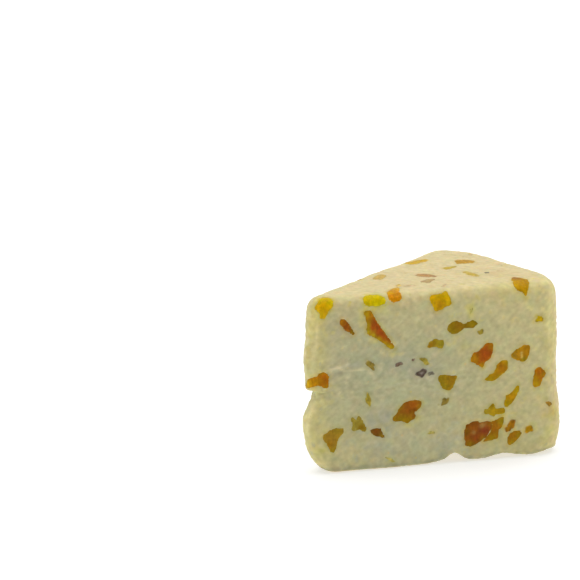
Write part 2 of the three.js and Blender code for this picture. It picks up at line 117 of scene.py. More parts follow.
def unit(vectors: Array) -> Array:
    """Vectors brought to length 1."""
    return vectors / np.maximum(np.linalg.norm(vectors, axis=-1, keepdims=True), 1e-12)


def fraction(value: Array | float) -> Array | float:
    """What is left past the decimal point."""
    return value % 1


def spread(places: Array | tuple | list) -> Array:
    """Drawn places as run round the outline and run up the profile."""
    return DRAWN_MIDDLE + (np.array(places) - DRAWN_MIDDLE) * DRAWN_SPREAD


@dataclass(frozen=True)
class WaveField:
    """A smooth random relief: cosine waves in random directions, added up to a spread of 1.

    Attributes:
        seed: number that the directions and phases are drawn from
        short: the shortest wavelength in millimetres
        long: the longest wavelength in millimetres
        stretch: how much longer the waves are along x, y and z
        waves: how many waves are added
    """

    seed: int
    short: float
    long: float
    stretch: tuple[float, float, float] = (1, 1, 1)
    waves: int = 40

    def at(self, points: Array) -> Array:
        """The relief at points.

        Args:
            points: places in millimetres, one row each
        Returns:
            one height for each point
        """
        draws = np.random.default_rng(self.seed)
        directions = unit(draws.normal(size=(self.waves, 3)))
        lengths = np.exp(draws.uniform(math.log(self.short), math.log(self.long), self.waves))
        phases = draws.uniform(0, FULL_TURN, self.waves)
        places = (points / np.array(self.stretch)).reshape(-1, 3)
        heights = np.cos(places @ (directions / lengths[:, None]).T * FULL_TURN + phases).sum(axis=1)
        return (heights * math.sqrt(2 / self.waves)).reshape(points.shape[:-1])


@dataclass
class Piece:
    """A closed surface on a grid, which can be made into a Blender object.

    Attributes:
        name: the object's name
        grid: points of shape (rows, columns, 3) in millimetres; the columns run round, anticlockwise seen
            from outside the last row, and the first and last rows are each one point
        paint: linear colours of shape (rows, columns, 3)
    """

    name: str
    grid: Array
    paint: Array

    def faces(self) -> list[list[int]]:
        """Four-sided faces between the rows, and triangles round the two end points."""
        rows, columns = self.grid.shape[:2]
        around = np.arange(columns)
        after = (around + 1) % columns
        ring = 1 + np.arange(rows - 3)[:, None] * columns
        above = ring + columns
        quads = np.stack([ring + around, ring + after, above + after, above + around], axis=-1)
        last_ring, end = 1 + (rows - 3) * columns, 1 + (rows - 2) * columns
        first_fan = np.stack([np.zeros(columns, int), 1 + after, 1 + around], axis=-1)
        last_fan = np.stack([np.full(columns, end), last_ring + around, last_ring + after], axis=-1)
        return quads.reshape(-1, 4).tolist() + first_fan.tolist() + last_fan.tolist()

    def per_point(self, values: Array) -> Array:
        """Values on the grid as one row a vertex, the end rows as one vertex each."""
        inner = values[1:-1].reshape(-1, values.shape[-1])
        return np.concatenate([values[:1, 0], inner, values[-1:, 0]])

    def made(self) -> bpy.types.Object:
        """The piece as an object of the scene."""
        return make_object(self.name, self.per_point(self.grid), self.faces(), self.per_point(self.paint))


def make_object(name: str, points: Array, faces: list[list[int]], paint: Array) -> bpy.types.Object:
    """Puts a surface into Blender, in metres and in the row frame.

    Args:
        name: the object's name
        points: vertices in millimetres from the sharp tip
        faces: lists of vertex numbers, anticlockwise from outside
        paint: one linear colour for each vertex
    Returns:
        the object, smooth and linked to the scene
    """
    mesh = bpy.data.meshes.new(name)
    mesh.from_pydata(((points + TIP_PLACE) * MM).tolist(), [], faces)
    colours = mesh.attributes.new("paint", "FLOAT_COLOR", "POINT")
    rgba = np.concatenate([np.clip(paint, 0, 1), np.ones((len(paint), 1))], axis=1)
    colours.data.foreach_set("color", rgba.astype(np.float32).ravel())
    mesh.polygons.foreach_set("use_smooth", np.ones(len(mesh.polygons), dtype=bool))
    mesh.update()
    made = bpy.data.objects.new(name, mesh)
    bpy.context.scene.collection.objects.link(made)
    return made


def hand_over(made: bpy.types.Object, nodes: list[str], material: bpy.types.Material) -> None:
    """Dresses an object, hangs it under the root and hides the CAD nodes that it replaces.

    Args:
        made: the object
        nodes: the CAD nodes that it replaces
        material: its material
    """
    made.data.materials.append(material)
    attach(made, "root")
    if nodes:
        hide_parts(*nodes)
    LOG.info("%s: %d faces", made.name, len(made.data.polygons))


@dataclass(frozen=True)
class Wheel:
    """The low round wheel that the wedge is cut from, and the outline of the wedge seen from above.

    Attributes:
        angle: between the two cut faces
        tip_radius, corner_radius: rounding of the tip and of the corners at the rind, seen from above
        top_edge, foot_edge: rounding of the top edge and of the lower edge
        middle_reach: where the middle of the flat faces lies, as a share of the radius
        middle_run: how much the run up the profile grows from a flat face's edge to its middle
        front_points to tip_points: columns along each stretch of the outline
        side_marks, side_rows: heights that part the sides into bands, and the rows of each band, which are
            closest where the notch at the tip is
        edge_rows, foot_edge_step: rows over the top edge, of which the lower edge has one in so many
        foot_rings, top_rings: rings of the underside and of the top
        ring_power: above 1, it brings the rings closer together towards a flat face's edge
    """

    radius: float = 100.0
    height: float = 63.0
    angle: float = math.radians(42)
    tip_radius: float = 4.6
    corner_radius: float = 7.0
    top_edge: float = 4.4
    foot_edge: float = 1.2
    middle_reach: float = 0.69
    middle_run: float = 25.0
    front_points: int = 130
    back_points: int = 118
    rind_points: int = 92
    corner_points: int = 14
    tip_points: int = 18
    side_marks: tuple[float, float] = (26.0, 32.0)
    side_rows: tuple[int, int, int] = (42, 25, 45)
    edge_rows: int = 13
    foot_edge_step: int = 3
    foot_rings: int = 26
    top_rings: int = 40
    ring_power: float = 1.25

    def arc(self, centre: Array, radius: float, start: float, stop: float, count: int) -> Array:
        """Points on an arc with their outward directions, without the last one.

        Args:
            centre: the arc's centre
            radius: its radius
            start: angle of its first point
            stop: angle of its last point, which is left to the next stretch
            count: how many points
        Returns:
            rows of x, y, outward x and outward y
        """
        turn = start + (stop - start) * np.arange(count) / count
        out = np.column_stack([np.cos(turn), np.sin(turn)])
        return np.hstack([centre + radius * out, out])

    def straight(self, start: Array, stop: Array, count: int) -> Array:
        """Points on a straight stretch with their outward directions, without the last one.

        Args:
            start: its first point
            stop: its last point, which is left to the next stretch
            count: how many points
        Returns:
            rows of x, y, outward x and outward y
        """
        share = np.arange(count)[:, None] / count
        run = (stop - start) / np.linalg.norm(stop - start)
        out = np.tile([run[1], -run[0]], (count, 1))
        return np.hstack([start + (stop - start) * share, out])

    def outline(self) -> tuple[Array, Array]:
        """The whole outline, anticlockwise from where the front cut face begins.

        Returns:
            rows of x, y, outward x and outward y, and the length run along the outline at each
        """

        def polar(radius: float, angle: float) -> Array:
            """A point by its distance from the sharp tip and its angle."""
            return radius * np.array([math.cos(angle), math.sin(angle)])

        quarter = math.pi / 2
        tip_run = self.tip_radius / math.tan(self.angle / 2)
        reach = self.radius - self.corner_radius
        front = math.asin(self.corner_radius / reach)
        back = self.angle - front
        corner_run = reach * math.cos(front)
        back_turn = self.angle + quarter
        points = np.vstack([
            self.straight(np.array([tip_run, 0]), np.array([corner_run, 0]), self.front_points),
            self.arc(polar(reach, front), self.corner_radius, -quarter, front, self.corner_points),
            self.arc(np.zeros(2), self.radius, front, back, self.rind_points),
            self.arc(polar(reach, back), self.corner_radius, back, back_turn, self.corner_points),
            self.straight(polar(corner_run, self.angle), polar(tip_run, self.angle), self.back_points),
            self.arc(
                polar(self.tip_radius / math.sin(self.angle / 2), self.angle / 2),
                self.tip_radius, back_turn, 3 * quarter, self.tip_points,
            ),
        ])
        steps = np.linalg.norm(np.diff(points[:, :2], axis=0), axis=1)
        return points, tip_run + np.concatenate([[0], np.cumsum(steps)])

    def edge_inset(self, z: Array) -> Array:
        """How far the rounded edges draw the outline in at heights z."""
        top = np.maximum(0, z - (self.height - self.top_edge))
        foot = np.maximum(0, self.foot_edge - z)
        drawn_top = self.top_edge - np.sqrt(self.top_edge**2 - top**2)
        return drawn_top + self.foot_edge - np.sqrt(self.foot_edge**2 - foot**2)

    def rows(self) -> tuple[Array, Array, Array]:
        """The rows from the middle of the underside to the middle of the top.

        Returns:
            the height of each, how far each is drawn in towards a flat face's middle, and its run up the
            profile, which is its height on a side and grows by the way covered past it
        """
        turn = np.linspace(0, math.pi / 2, self.edge_rows)
        foot_in = (np.arange(self.foot_rings, 0, -1) / self.foot_rings) ** self.ring_power
        top_in = (np.arange(1, self.top_rings + 1) / self.top_rings) ** self.ring_power
        foot = self.foot_edge * (1 - np.cos(turn[::self.foot_edge_step]))
        high = self.height - self.top_edge
        marks = (self.foot_edge, *self.side_marks, high)
        bands = zip(marks, marks[1:], self.side_rows)
        side = np.concatenate([np.linspace(start, stop, count)[1:] for start, stop, count in bands])[:-1]
        top = high + self.top_edge * np.sin(turn)
        flat_foot, flat_top = np.zeros(self.foot_rings), np.full(self.top_rings, self.height)
        z = np.concatenate([flat_foot, foot, side, top, flat_top])
        upright = np.zeros(len(foot) + len(side) + len(top))
        past = self.top_edge * turn
        last = high + past[-1]
        run = np.concatenate([
            -self.middle_run * foot_in, foot, side, high + past, last + self.middle_run * top_in,
        ])
        return z, np.concatenate([foot_in, upright, top_in]), run


@dataclass(frozen=True)
class Wear:
    """Rubbed, swollen and crumbled places, as shifts of the plain wedge's surface.

    Attributes:
        tip_reach: how far from the sharp tip the tip's wear reaches
        tip_foot: how high the tip's foot is worn, how far at the floor, and the power it dies out by
        tip: worn places up the tip: height, reach above and below, and depth
        swells: place along the outline, height, width, tallness and how far out
        chips: place along the outline, width and lift
        chip_deep, chip_tall: how far the chips reach in under the cheese and up
        waves, wave_fade: x, y, width and lift on the top, and the power they die out by downwards
    """

    tip_reach: float = 20.0
    tip_foot: tuple[float, float, float] = (10.5, 7.2, 1.9)
    tip: Rows = ((29.4, 0.45, 5.6, 3.1), (17.3, 5, 7, -1.55), (41, 4, 7, -0.9), (63, 4, 9, 1.2))
    swells: Rows = (
        (105, 11, 12, 12, 1.6), (105, 62, 9, 7, -0.9), (104, 1, 8, 4, -0.6), (60, 30, 30, 20, -0.5),
        (26, 46, 12, 10, 0.4), (30, 12, 14, 9, 0.6), (138, 30, 22, 18, 0.7), (205, 38, 20, 14, -0.5),
        (235, 16, 16, 10, 0.5),
    )
    chips: Rows = (
        (60.6, 3.4, 3.2), (55.5, 3.2, 0.5), (78.5, 6, 1.55), (97, 6, 1.3), (151, 7, 1.4), (214, 6, 1.8),
    )
    chip_deep: float = 7.0
    chip_tall: float = 6.0
    waves: Rows = (
        (78, 8, 14, 0.4), (86, 52, 9, 0.5), (95, 31, 6, -0.35), (100, 12, 9, 0.9), (55, 28, 12, -0.3),
        (40, 34, 12, 0.5),
    )
    wave_fade: float = 6.0

    def tip_shift(self, z: Array) -> Array:
        """How far the tip is worn back at heights z: a power that dies out upwards, and a few bumps."""
        height, depth, power = self.tip_foot
        shift = depth * np.maximum(0, 1 - z / height) ** power
        for place, above, below, deep in self.tip:
            shift = shift + deep * bell(z - place, np.where(z > place, above, below))
        return shift

    def chip_lift(self, along: Array) -> Array:
        """How high the lower edge has crumbled away along the outline."""
        return sum(lift * bell(along - place, wide) for place, wide, lift in self.chips)

    def worn(self, wheel: Wheel) -> Array:
        """The worn wedge's surface.

        Each row takes the outline, drawn in by the rounded edges or towards the flat face's middle, and
        shifts it outwards by the swells, back by the tip's wear, and up by the chips and waves.

        Args:
            wheel: the wheel and its outline
        Returns:
            points of shape (rows, columns, 3)
        """
        outline, along = wheel.outline()
        z, ring, _ = (column[:, None] for column in wheel.rows())
        half = wheel.angle / 2
        middle = wheel.radius * wheel.middle_reach * np.array([math.cos(half), math.sin(half)])
        flat = outline[None, :, :2] - outline[None, :, 2:] * wheel.edge_inset(z)[..., None]
        inward = ring * np.linalg.norm(flat - middle, axis=-1)
        flat = flat + (middle - flat) * ring[..., None]
        swell = sum(out * bell(along - place, wide) * bell(z - up, tall)
                    for place, up, wide, tall, out in self.swells)
        flat = flat + outline[None, :, 2:] * (swell * bell(inward, wheel.top_edge))[..., None]
        x = flat[..., 0] + self.tip_shift(z) * bell(np.linalg.norm(flat, axis=-1), self.tip_reach)
        y = flat[..., 1]
        wave = sum(lift * bell(np.hypot(x - place_x, y - place_y), wide)
                   for place_x, place_y, wide, lift in self.waves)
        chip = self.chip_lift(along) * bell(z, self.chip_tall) * bell(inward, self.chip_deep)
        return np.stack([x, y, z + chip + wave * (z / wheel.height) ** self.wave_fade], axis=-1)


# Drag marks, ridges and grooves: run round and run up of both ends, width and lift
DRAG_MARKS = (
    (14.0, 37.2, 22.4, 39.4, 0.5, 0.19), (14.4, 36.1, 21.8, 36.0, 0.6, -0.18),
    (20.4, 36.5, 28.4, 37.2, 0.5, 0.12), (15.0, 33.1, 21.6, 34.9, 0.6, 0.07),
    (28.8, 37.0, 31.2, 34.0, 0.5, 0.14), (16.5, 28.8, 19, 31.2, 0.5, 0.10), (21.4, 40.6, 22, 37.9, 0.5, 0.17),
    (17.8, 38.8, 20.9, 36.7, 0.5, 0.16), (8.6, 54, 8.0, 38, 0.7, -0.05), (10.8, 55, 10.4, 40, 0.7, 0.08),
    (12.8, 52, 13.0, 41, 0.8, -0.04), (8.2, 27, 8.8, 14, 0.8, 0.20), (11.4, 25, 12.0, 8, 0.8, -0.06),
    (94.6, 54, 95.0, 40, 0.8, 0.12), (96.4, 47, 96.8, 24, 0.7, -0.05),
)


@dataclass(frozen=True)
class Crumb:
    """The fine relief of a cut crumbly cheese: swells, drag marks of the wire and small pits.

    Attributes:
        swell, swell_waves: height of the widest waves, and the waves
        grain, grain_waves: the same of the small waves
        drag, drag_waves: of the long level waves that the wire leaves on the sides
        ragged, ragged_waves: of the torn waves where the cheese has crumbled
        ripple: waves that make the drag marks uneven
        ripple_lift, ripple_gap: how far they change a mark's height and its width
        mark_part, mark_start: the part of a half sine that a mark's height runs through, and its start
        torn_foot, torn_notch: how torn the foot is, and the notch at the tip
        torn_chips: how much more torn the chips are, for each millimetre of lift
        torn_tall: how far up from the foot the cheese is torn
        notch, notch_wide: x and z of the notch at the tip, and its width
        pits, pit_wide, pit_deep: how many small pits there are, and the limits of their widths and depths
        seed: number that the pits are drawn from
    """

    swell: float = 0.10
    grain: float = 0.045
    drag: float = 0.03
    ragged: float = 0.2
    swell_waves: WaveField = WaveField(11, 7, 22)
    grain_waves: WaveField = WaveField(12, 1.4, 4)
    drag_waves: WaveField = WaveField(13, 1.3, 3, stretch=(9, 9, 1))
    ragged_waves: WaveField = WaveField(14, 1.3, 3.6)
    ripple: WaveField = WaveField(15, 2, 6)
    ripple_lift: float = 0.2
    ripple_gap: float = 0.08
    mark_part: float = 0.8
    mark_start: float = 0.1
    torn_foot: float = 0.25
    torn_chips: float = 0.5
    torn_notch: float = 0.8
    torn_tall: float = 3.5
    notch: tuple[float, float] = (10.0, 27.0)
    notch_wide: float = 5.0
    pits: int = 170
    pit_wide: tuple[float, float] = (0.45, 1.0)
    pit_deep: tuple[float, float] = (0.08, 0.3)
    seed: int = 31

    def drawn(self, points: Array, along: Array, run: Array) -> Array:
        """Heights of the drag marks.

        Each is a bell across its line, and fades out towards both ends as a sine. A ripple makes its
        height and its width uneven.

        Args:
            points: the surface
            along: run round the outline of each column
            run: run up the profile of each row
        Returns:
            one height for each point
        """
        unrolled = np.stack(np.broadcast_arrays(along, run), axis=-1)
        ripple = self.ripple.at(points)
        height = np.zeros(points.shape[:-1])
        for *ends, wide, lift in DRAG_MARKS:
            start = spread(ends[:2])
            way = spread(ends[2:]) - start
            share = ((unrolled - start) @ way) / (way @ way)
            gap = np.linalg.norm(unrolled - start - np.clip(share, 0, 1)[..., None] * way, axis=-1)
            fade = np.sin(math.pi * np.clip(share * self.mark_part + self.mark_start, 0, 1))
            across = bell(gap + self.ripple_gap * ripple, wide)
            height += lift * (1 + self.ripple_lift * ripple) * fade * across
        return height

    def relief(self, points: Array, normals: Array, wear: Wear, along: Array, run: Array) -> Array:
        """Heights over the worn surface.

        Args:
            points: the worn surface
            normals: its outward directions
            wear: where it is worn, since it is rougher there
            along: run round the outline of each column
            run: run up the profile of each row
        Returns:
            one height for each point
        """
        x, _, z = np.moveaxis(points, -1, 0)
        side = 1 - np.abs(normals[..., 2])
        height = self.swell * self.swell_waves.at(points)
        height += self.grain * self.grain_waves.at(points)
        height += self.drag * side * self.drag_waves.at(points)
        torn = bell(z, self.torn_tall) * (self.torn_foot + self.torn_chips * wear.chip_lift(along))
        from_notch = np.hypot(x - self.notch[0], z - self.notch[1])
        torn = torn + self.torn_notch * bell(from_notch, self.notch_wide)
        height += self.ragged * np.clip(torn, 0, 1) * side * self.ragged_waves.at(points)
        height += self.drawn(points, along, run)
        draws = np.random.default_rng(self.seed)
        flat = points.reshape(-1, 3)
        middles = flat[draws.integers(0, len(flat), self.pits)]
        wide = draws.uniform(*self.pit_wide, self.pits)
        deep = draws.uniform(*self.pit_deep, self.pits)
        gaps = np.linalg.norm(flat[:, None] - middles[None], axis=-1)
        return height - (deep * bell(gaps, wide)).sum(axis=1).reshape(height.shape)


@dataclass
class Patch:
    """A small plane laid on the surface: its middle, its direction out and its two directions along."""

    middle: Array
    out: Array
    right: Array = field(init=False)
    ahead: Array = field(init=False)

    def __post_init__(self) -> None:
        """Sets the directions along: to the right seen from outside, and up or ahead."""
        level = abs(self.out[2]) > UPRIGHT
        beside = (0, math.copysign(1, self.out[2]), 0) if level else (0, 0, 1)
        self.right = unit(np.cross(beside, self.out))
        self.ahead = np.cross(self.out, self.right)

    def local(self, points: Array) -> Array:
        """Points as places to the right, ahead and out."""
        return (points - self.middle) @ np.column_stack([self.right, self.ahead, self.out])

    def world(self, places: Array) -> Array:
        """Places to the right, ahead and out as points."""
        return self.middle + places @ np.array([self.right, self.ahead, self.out])


def whole_run(points: Array, along: Array) -> float:
    """The whole way round the outline: to its last column, and from there to its first on one row."""
    return along[-1] + np.linalg.norm(points[SIDE_ROW, -1] - points[SIDE_ROW, 0]) - along[0]


def round_run(points: Array, along: Array) -> Array:
    """Run round the outline of each column, counted back below 0 for the last stretch before the front.

    Args:
        points: a surface on the grid
        along: the run of each column from the front's start
    Returns:
        one row of runs
    """
    whole = whole_run(points, along)
    return np.where(along > whole - COUNTED_BACK, along - whole, along)[None]


@dataclass
class Skin:
    """The cheese's surface on a grid: before the fruit is let in, and as it is shown.

    Attributes:
        points: the surface with its fine relief
        normals: its outward directions
        shown: the surface with the pockets under the fruit
        paint: its colours
        along: run round the outline of each column
        run: run up the profile of each row
    """

    points: Array
    normals: Array
    shown: Array
    paint: Array
    along: Array
    run: Array

    def place_at(self, unrolled: Array) -> tuple[Array, Array]:
        """Points and outward directions at places given by the run round the outline and up the profile.

        Args:
            unrolled: rows of the run round and the run up, in millimetres
        Returns:
            the points and the directions, each taken between the four grid points around it
        """
        forward = unrolled[:, 0] + whole_run(self.points, self.along)
        around = np.where(unrolled[:, 0] < self.along[0], forward, unrolled[:, 0])
        column = np.interp(around, self.along, np.arange(len(self.along)))
        row = np.interp(unrolled[:, 1], self.run, np.arange(len(self.run)))
        left, low = column.astype(int), row.astype(int)
        right, high = (left + 1) % len(self.along), np.minimum(low + 1, len(self.run) - 1)
        x, y = (column - left)[:, None], (row - low)[:, None]
        points, normals = (
            (grid[low, left] * (1 - x) + grid[low, right] * x) * (1 - y)
            + (grid[high, left] * (1 - x) + grid[high, right] * x) * y
            for grid in (self.points, self.normals)
        )
        return points, unit(normals)

    def near(self, patch: Patch, reach: float) -> tuple[Array, Array]:
        """The grid points over a patch.

        Args:
            patch: where to look
            reach: how far from its middle, in millimetres
        Returns:
            their numbers in the flattened grid, and their local places
        """
        flat = self.points.reshape(-1, 3)
        close = np.flatnonzero((np.abs(flat - patch.middle) < reach).all(axis=1))
        facing = self.normals.reshape(-1, 3)[close] @ patch.out > FACING
        close = close[facing]
        return close, patch.local(flat[close])

    def heights(self, patch: Patch, places: Array, reach: float, grain: float = 0.6) -> Array:
        """Heights of the surface over a patch, as bell-weighted means of the grid points near each place.

        A second, wide bell of next to no weight serves the places that have no grid point near them.

        Args:
            patch: the plane that heights are counted from
            places: places on it, to the right and ahead
            reach: how far from the patch's middle the grid is read
            grain: width of the bell
        Returns:
            one height for each place
        """
        _, local = self.near(patch, reach)
        gaps = ((places.reshape(-1, 1, 2) - local[None, :, :2]) ** 2).sum(axis=-1)
        weights = np.exp(-gaps / grain**2) + FAR_WEIGHT * np.exp(-gaps / (FAR_WIDER * grain) ** 2)
        return ((weights @ local[:, 2]) / weights.sum(axis=1)).reshape(places.shape[:-1])

    def patch_at(self, face: Face, a: float, b: float) -> Patch:
        """The patch of a face at a place given as the part gives it.

        Args:
            face: the face
            a: place along it, or x
            b: place up it, or y
        Returns:
            a patch that lies on the cheese's surface
        """
        if face is Face.FRONT:
            points, normals = self.place_at(spread([(a, b)]))
            return Patch(points[0], normals[0])
        turn = {Face.BACK: Wheel.angle, Face.RIND: a / Wheel.radius}.get(face, 0.0)
        run = np.array([math.cos(turn), math.sin(turn), 0])
        side = np.array([run[1], -run[0], 0])
        middle, out = {
            Face.BACK: (run * a, -side),
            Face.RIND: (run * Wheel.radius, run),
            Face.TOP: (np.array([a, b, 0]), np.array([0, 0, 1.0])),
        }[face]
        up = Wheel.height if face is Face.TOP else b
        start = Patch(middle * [1, 1, 0] + [0, 0, up], out)
        lift = self.heights(start, np.zeros((1, 2)), reach=6.0, grain=1.5)[0]
        return Patch(start.middle + start.out * lift, out)


LILAC: Colour = (0.44, 0.43, 0.33)
SAGE: Colour = (0.50, 0.52, 0.36)
BUTTER: Colour = (0.68, 0.60, 0.16)
PEACH: Colour = (0.74, 0.58, 0.31)
# Dark grey olive: the painted shade along the foot, and a few dark marks on the front
OLIVE_GREY: Colour = (0.34, 0.33, 0.20)
# Pale cream for painted highlights on the rounded tip
HIGHLIGHT_CREAM: Colour = (0.78, 0.69, 0.40)
# Pale cream for painted highlights: on raised drag marks, and in strips on the rounded tip and the right rim
HIGHLIGHT_MILK: Colour = (0.82, 0.74, 0.42)
ASH: Colour = (0.50, 0.43, 0.26)
# Grey for the painted shade low on the front
LOW_SHADE_GREY: Colour = (0.555, 0.53, 0.33)
# Grey for the painted shade in sunk drag marks
GROOVE_SHADE: Colour = (0.40, 0.385, 0.25)

# Soft patches laid in order, some in the paste's own tones and some painted light and shade that set the cut
# faces'
# broad shading: run round the outline, run up the profile, half width, half height, tone and strength
TONE_AND_SHADE_PATCHES = (
    (48.8, 33.6, 4.2, 2.6, LILAC, 0.95), (41, 37.5, 5.0, 3.0, LILAC, 0.5), (35.5, 19, 2.6, 2.6, LILAC, 0.7),
    (30.5, 17.5, 3.0, 3.0, LILAC, 0.6), (57.5, 7, 3.0, 3.5, LILAC, 0.6), (17, 37, 2.0, 1.6, SAGE, 0.5),
    (28, 49.6, 1.8, 1.4, SAGE, 0.3), (55.6, 3.2, 0.8, 1.7, OLIVE_GREY, 1.0), (65.8, 55, 1.6, 2.8, BUTTER, 0.85),
    (28.2, 58.2, 2.4, 1.4, BUTTER, 0.4), (35, 57, 2.0, 1.6, BUTTER, 0.3),
    (12.2, 9, 1.9, 1.4, (0.56, 0.50, 0.12), 0.85), (46.6, 17.6, 1.6, 1.6, BUTTER, 0.5),
    (43.5, 15.4, 2.0, 1.0, BUTTER, 0.4), (36.6, 3.4, 1.8, 1.0, BUTTER, 0.5), (74, 5.6, 3.5, 1.6, BUTTER, 0.2),
    (77.5, 9, 1.6, 3.0, BUTTER, 0.25), (73.5, 34.5, 1.6, 1.6, PEACH, 0.35), (74.5, 38, 1.6, 1.6, PEACH, 0.3),
    (40.5, 59, 1.6, 1.2, PEACH, 0.3), (96.2, 38, 1.2, 2.5, PEACH, 0.7),
    (96.4, 15.4, 1.8, 3.0, (0.62, 0.45, 0.11), 0.9), (94.5, 58, 1.6, 4.0, PEACH, 0.4),
    # (7.2, 48) and (7.6, 20): pale strips on the rounded tip, painted highlights
    (7.2, 48, 1.4, 9.0, HIGHLIGHT_CREAM, 0.5), (7.6, 20, 1.6, 6.0, HIGHLIGHT_CREAM, 0.5), (17, 52, 7.0, 5.0, ASH, 0.6),
    (19, 36, 6.0, 7.0, ASH, 0.35), (8.4, 23, 1.2, 6.0, BUTTER, 0.25), (13, 46, 2.6, 9.0, BUTTER, 0.14),
    (51.5, 12.2, 1.6, 0.8, BUTTER, 0.55), (81.4, 16.4, 1.8, 0.8, BUTTER, 0.5),
    (14.6, 26.4, 1.2, 0.9, BUTTER, 0.35), (90.7, 22, 0.8, 1.2, BUTTER, 0.35),
    # (46, 8.5) here and (92, 8) below: painted shade low on the front; (97.4, 42) and (95.5, 60) below: pale
    # strips along the right rim, painted highlights
    (79.8, 59, 0.8, 1.5, PEACH, 0.5), (46, 8.5, 18.0, 5.0, LOW_SHADE_GREY, 0.55), (97.4, 42, 1.6, 16.0, HIGHLIGHT_MILK, 0.35),
    (97.4, 40, 1.8, 16.0, BUTTER, 0.18), (95.5, 60, 3.6, 4.0, HIGHLIGHT_MILK, 0.35), (84, 70, 10.0, 4.0, BUTTER, 0.12),
    # (9.5, 29.9): painted shade in the notch under the tip chunk
    (9.5, 29.9, 5.0, 1.0, (0.46, 0.43, 0.20), 0.6), (9.6, 61, 1.8, 4.2, BUTTER, 0.5),
    (3.4, 46, 2.6, 15.0, (0.50, 0.46, 0.19), 0.5), (92, 8, 6.0, 6.0, LOW_SHADE_GREY, 0.35),
    (48.6, 33.8, 2.9, 2.2, (0.33, 0.30, 0.22), 0.6), (56.4, 51, 1.3, 0.9, OLIVE_GREY, 0.35),
    (69.6, 50.6, 1.3, 1.6, OLIVE_GREY, 0.3), (31.5, 57.9, 3.0, 1.1, BUTTER, 0.4),
    (26.6, 55.6, 1.2, 3.0, BUTTER, 0.55), (31.4, 46.6, 3.2, 1.2, BUTTER, 0.4),
    (37.6, 41.6, 1.8, 1.0, BUTTER, 0.5), (60.5, 45.8, 1.6, 1.0, BUTTER, 0.3),
    # (10.6, 50) here and (8.2, 19) below: pale strips on the rounded tip, painted highlights
    (8.0, 43, 1.1, 7.0, (0.50, 0.44, 0.12), 0.55), (10.6, 50, 0.4, 5.0, HIGHLIGHT_MILK, 0.4),
    (8.2, 19, 0.6, 6.0, HIGHLIGHT_MILK, 0.4), (40, 29.5, 13.0, 5.2, (0.62, 0.59, 0.335), 0.48),
    (20, 26, 6.0, 5.0, (0.60, 0.57, 0.31), 0.25), (42, 51, 12.0, 7.0, (0.65, 0.56, 0.285), 0.35),
    (61, 33, 8.0, 7.0, (0.60, 0.56, 0.31), 0.25), (9.6, 54, 3.6, 6.5, (0.74, 0.62, 0.19), 0.4),
    # (6, 7) here and (32, 9), (60, 5), (85, 4) and (47, 4) below: darker patches that paint shade on the
    # lower front
    (9.6, 16, 3.0, 8.0, BUTTER, 0.3), (6, 7, 3.5, 5.0, (0.48, 0.45, 0.18), 0.35),
    (32, 9, 4.5, 5.0, (0.455, 0.445, 0.32), 0.45), (60, 5, 11.0, 5.0, (0.50, 0.50, 0.34), 0.22),
    (85, 4, 8.0, 4.5, (0.50, 0.47, 0.19), 0.35), (85, 35, 7.0, 4.0, (0.52, 0.48, 0.26), 0.2),
    (95.5, 46, 3.4, 18.0, BUTTER, 0.35), (95, 8, 4.0, 7.0, BUTTER, 0.45), (80, 62, 11.0, 3.5, BUTTER, 0.3),
    (108, 76, 14.0, 6.0, (0.62, 0.48, 0.23), 0.5), (63.3, 42.2, 2.4, 2.4, BUTTER, 0.3),
    (96.5, 57, 3.0, 7.0, (0.80, 0.70, 0.33), 0.35), (24.6, 38.8, 2.0, 1.2, LILAC, 0.5),
    (47, 4, 21.0, 6.0, (0.45, 0.475, 0.30), 0.28),
)


